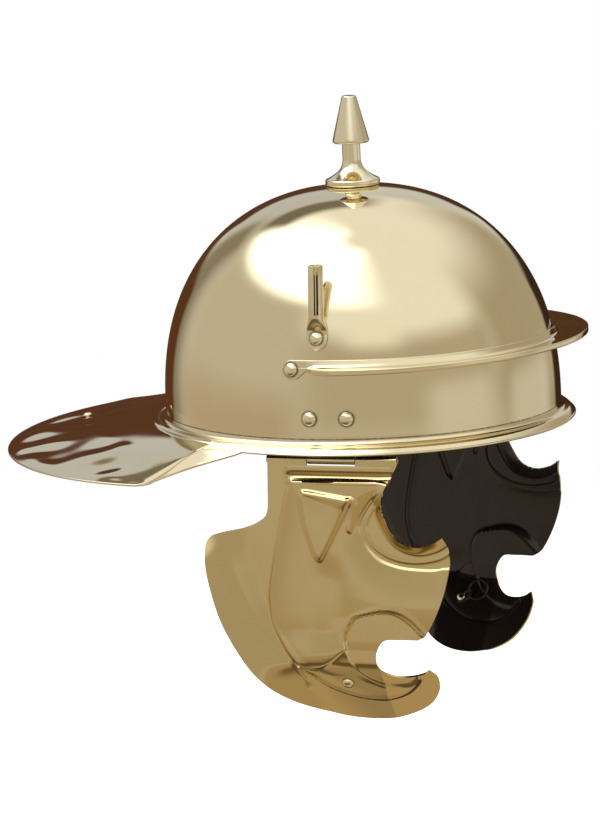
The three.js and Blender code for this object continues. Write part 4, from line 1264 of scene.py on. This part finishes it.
# Studio: what the brass mirrors, as soft patches of a sky that only reflections see.
# Azimuth runs from +Y towards +X, in degrees. Wide and tall are half sizes. An edge fades over soft
# to each side of it, or, for the upright edges, over blur. A later patch lies over an earlier one.
studioPatches = [
    {"azimuth": 0, "elevation": -52, "wide": 400, "tall": 40, "soft": 7, "colour": "baa684"},
    {"azimuth": 0, "elevation": -84, "wide": 400, "tall": 14, "soft": 6, "colour": "c2ac88"},
    {"azimuth": -5, "elevation": -70, "wide": 40, "tall": 9, "soft": 4, "blur": 24, "colour": "a8977a"},
    {"azimuth": -75, "elevation": -49, "wide": 48, "tall": 17, "soft": 8, "colour": "6b6048"},
    {"azimuth": 85, "elevation": -42, "wide": 68, "tall": 34, "soft": 8, "colour": "4d4436"},
    {"azimuth": -115, "elevation": 5, "wide": 75, "tall": 19, "soft": 7, "blur": 10, "colour": "beb3a0"},
    {"azimuth": 168, "elevation": -6, "wide": 50, "tall": 8, "soft": 5, "blur": 10, "colour": "d8d2c6"},
    {"azimuth": -30, "elevation": 12, "wide": 45, "tall": 28, "soft": 7, "blur": 14, "colour": "cbc4b6"},
    {"azimuth": -28, "elevation": -12, "wide": 40, "tall": 10, "soft": 8, "blur": 12, "colour": "beae98"},
    {"azimuth": 130, "elevation": 12, "wide": 44, "tall": 30, "soft": 20, "blur": 14, "colour": "b3a793"},
    {"azimuth": 138, "elevation": -8, "wide": 22, "tall": 7, "soft": 5, "blur": 8, "colour": "d4cec2"},
    {
        "azimuth": -38, "elevation": 61, "wide": 70, "tall": 20,
        "soft": 5, "blur": 24, "colour": "ffffff", "power": 2.2,
    },
    {"azimuth": -112, "elevation": 28, "wide": 16, "tall": 8, "soft": 6, "blur": 10, "colour": "fdf9ef"},
    {"azimuth": 31, "elevation": 6, "wide": 16, "tall": 31, "soft": 7, "blur": 13, "colour": "8f8776"},
    {"azimuth": 50, "elevation": 45, "wide": 22, "tall": 7, "soft": 4, "blur": 7, "colour": "7c7566"},
    {"azimuth": 56, "elevation": 26, "wide": 13, "tall": 12, "soft": 3, "blur": 5, "colour": "c8c9cc"},
    {"azimuth": 78, "elevation": 24, "wide": 10, "tall": 12, "soft": 5, "blur": 5, "colour": "d2d2d0"},
    {"azimuth": 42, "elevation": -3, "wide": 13, "tall": 13, "soft": 3, "colour": "5c3a20"},
    {"azimuth": 58, "elevation": 1, "wide": 9, "tall": 16, "soft": 1.5, "colour": "5a3926"},
    {"azimuth": 74, "elevation": 3, "wide": 8, "tall": 12, "soft": 2, "colour": "50361f"},
    {"azimuth": 89, "elevation": -3, "wide": 14, "tall": 11, "soft": 3, "colour": "3a291b"},
]
studioBase = {"colour": "fffdf6", "power": 0.97}


def makeWorld():
    world = bpy.data.worlds.new("paleStudio")
    bpy.context.scene.world = world
    world.use_nodes = True
    tree = world.node_tree
    tree.nodes.clear()
    way = addNode(tree, "ShaderNodeTexCoord").outputs["Generated"]
    parts = addNode(tree, "ShaderNodeSeparateXYZ", None, {"Vector": way})
    turn = addNode(tree, "ShaderNodeMath", {"operation": "ARCTAN2"}, {
        0: parts.outputs["X"],
        1: parts.outputs["Y"],
    })
    rise = addNode(tree, "ShaderNodeMath", {"operation": "ARCSINE"}, {0: parts.outputs["Z"]})

    def within(angle, centre, half, soft, wrap):
        away = addNode(tree, "ShaderNodeMath", {"operation": "SUBTRACT"}, {
            0: angle,
            1: math.radians(centre),
        })
        if wrap:
            away = addNode(tree, "ShaderNodeMath", {"operation": "WRAP"}, {
                0: away.outputs[0],
                1: math.pi,
                2: -math.pi,
            })
        size = addNode(tree, "ShaderNodeMath", {"operation": "ABSOLUTE"}, {0: away.outputs[0]})
        edge = addNode(tree, "ShaderNodeMapRange", {"interpolation_type": "SMOOTHSTEP"}, {
            "Value": size.outputs[0],
            "From Min": math.radians(half - soft),
            "From Max": math.radians(half + soft),
            "To Min": 1.0,
            "To Max": 0.0,
        })
        return edge.outputs["Result"]

    def light(spec):
        return (*[c * spec.get("power", 1) for c in linear(spec["colour"])], 1)

    colour = addNode(tree, "ShaderNodeRGB")
    colour.outputs[0].default_value = light(studioBase)
    last = colour.outputs[0]
    for patch in studioPatches:
        blur = patch.get("blur", patch["soft"])
        across = within(turn.outputs[0], patch["azimuth"], patch["wide"], blur, True)
        upward = within(rise.outputs[0], patch["elevation"], patch["tall"], patch["soft"], False)
        amount = addNode(tree, "ShaderNodeMath", {"operation": "MULTIPLY"}, {0: across, 1: upward})
        blend = addNode(tree, "ShaderNodeMix", {"data_type": "RGBA"}, {
            "Factor": amount.outputs[0],
            "A": last,
            "B": light(patch),
        })
        last = blend.outputs["Result"]
    seen = addNode(tree, "ShaderNodeBackground", None, {"Color": (1, 1, 1, 1), "Strength": 1.0})
    mirrored = addNode(tree, "ShaderNodeBackground", None, {"Color": last, "Strength": 1.0})
    path = addNode(tree, "ShaderNodeLightPath")
    both = addNode(tree, "ShaderNodeMixShader", None, {
        0: path.outputs["Is Camera Ray"],
        1: mirrored.outputs[0],
        2: seen.outputs[0],
    })
    addNode(tree, "ShaderNodeOutputWorld", None, {"Surface": both.outputs[0]})


# Pale paper well below the helmet, so that its shadow stays faint
floorShape = {"half": 2.0, "below": 0.22, "fadeStart": 0.5, "fadeEnd": 1.6}


def makeFloor():
    paper, tree = newMaterial("paleStudioPaper")
    place = addNode(tree, "ShaderNodeTexCoord").outputs["Object"]
    away = addNode(tree, "ShaderNodeVectorMath", {"operation": "LENGTH"}, {0: place})
    fade = addNode(tree, "ShaderNodeMapRange", {"interpolation_type": "SMOOTHSTEP"}, {
        "Value": away.outputs["Value"],
        "From Min": floorShape["fadeStart"],
        "From Max": floorShape["fadeEnd"],
    })
    near = addNode(tree, "ShaderNodeBsdfDiffuse", None, {"Color": (*linear("fafafa"), 1)})
    far = addNode(tree, "ShaderNodeBsdfTransparent")
    both = addNode(tree, "ShaderNodeMixShader", None, {
        0: fade.outputs["Result"],
        1: near.outputs[0],
        2: far.outputs[0],
    })
    addNode(tree, "ShaderNodeOutputMaterial", None, {"Surface": both.outputs[0]})
    half = floorShape["half"]
    low = cadBounds[0][2] - floorShape["below"]
    corners = [(-half, -half, low), (half, -half, low), (half, half, low), (-half, half, low)]
    mesh = bpy.data.meshes.new("studioFloor")
    mesh.from_pydata(corners, [], [(0, 1, 2, 3)])
    mesh.materials.append(paper)
    floor = bpy.data.objects.new("studioFloor", mesh)
    bpy.context.scene.collection.objects.link(floor)
    floor.visible_glossy = False


def makeLight(name, place, aim, size, power):
    data = bpy.data.lights.new(name, "AREA")
    data.shape = "DISK"
    data.size = size
    data.energy = power
    lamp = bpy.data.objects.new(name, data)
    bpy.context.scene.collection.objects.link(lamp)
    lamp.location = place
    lamp.rotation_euler = (Vector(aim) - Vector(place)).to_track_quat("-Z", "Y").to_euler()
    lamp.visible_glossy = False
    return lamp


# The photograph's view: a long lens, slightly above the rim and ahead of the right cheek
viewpoint = {
    "azimuth": -66.44,
    "elevation": 11.18,
    "roll": -2.81,
    "distance": 1723.6,
    "aim": (0, 38.7, -8.3),
    "lens": 182.8,
}


def makeCamera():
    s = viewpoint
    azimuth = math.radians(s["azimuth"])
    elevation = math.radians(s["elevation"])
    roll = math.radians(s["roll"])
    back = Vector((
        math.sin(azimuth) * math.cos(elevation),
        -math.cos(azimuth) * math.cos(elevation),
        math.sin(elevation),
    ))
    right = Vector((math.cos(azimuth), math.sin(azimuth), 0))
    up = back.cross(right)
    across = math.cos(roll) * right + math.sin(roll) * up
    upward = math.cos(roll) * up - math.sin(roll) * right
    data = bpy.data.cameras.new("photographView")
    data.sensor_fit = "HORIZONTAL"
    data.sensor_width = 36
    data.lens = s["lens"]
    data.clip_end = 60
    camera = bpy.data.objects.new("photographView", data)
    bpy.context.scene.collection.objects.link(camera)
    spot = Vector(s["aim"]) * mm + back * s["distance"] * mm
    camera.matrix_world = Matrix.Translation(spot) @ Matrix((across, upward, back)).transposed().to_4x4()
    bpy.context.scene.camera = camera


makeWorld()
makeFloor()
makeLight("overheadSoftbox", (0.6, 0.5, 2.6), (0.3, 0.4, -0.3), 2.4, 130)
makeCamera()
bpy.context.scene.view_settings.view_transform = "Standard"
print("studio set")
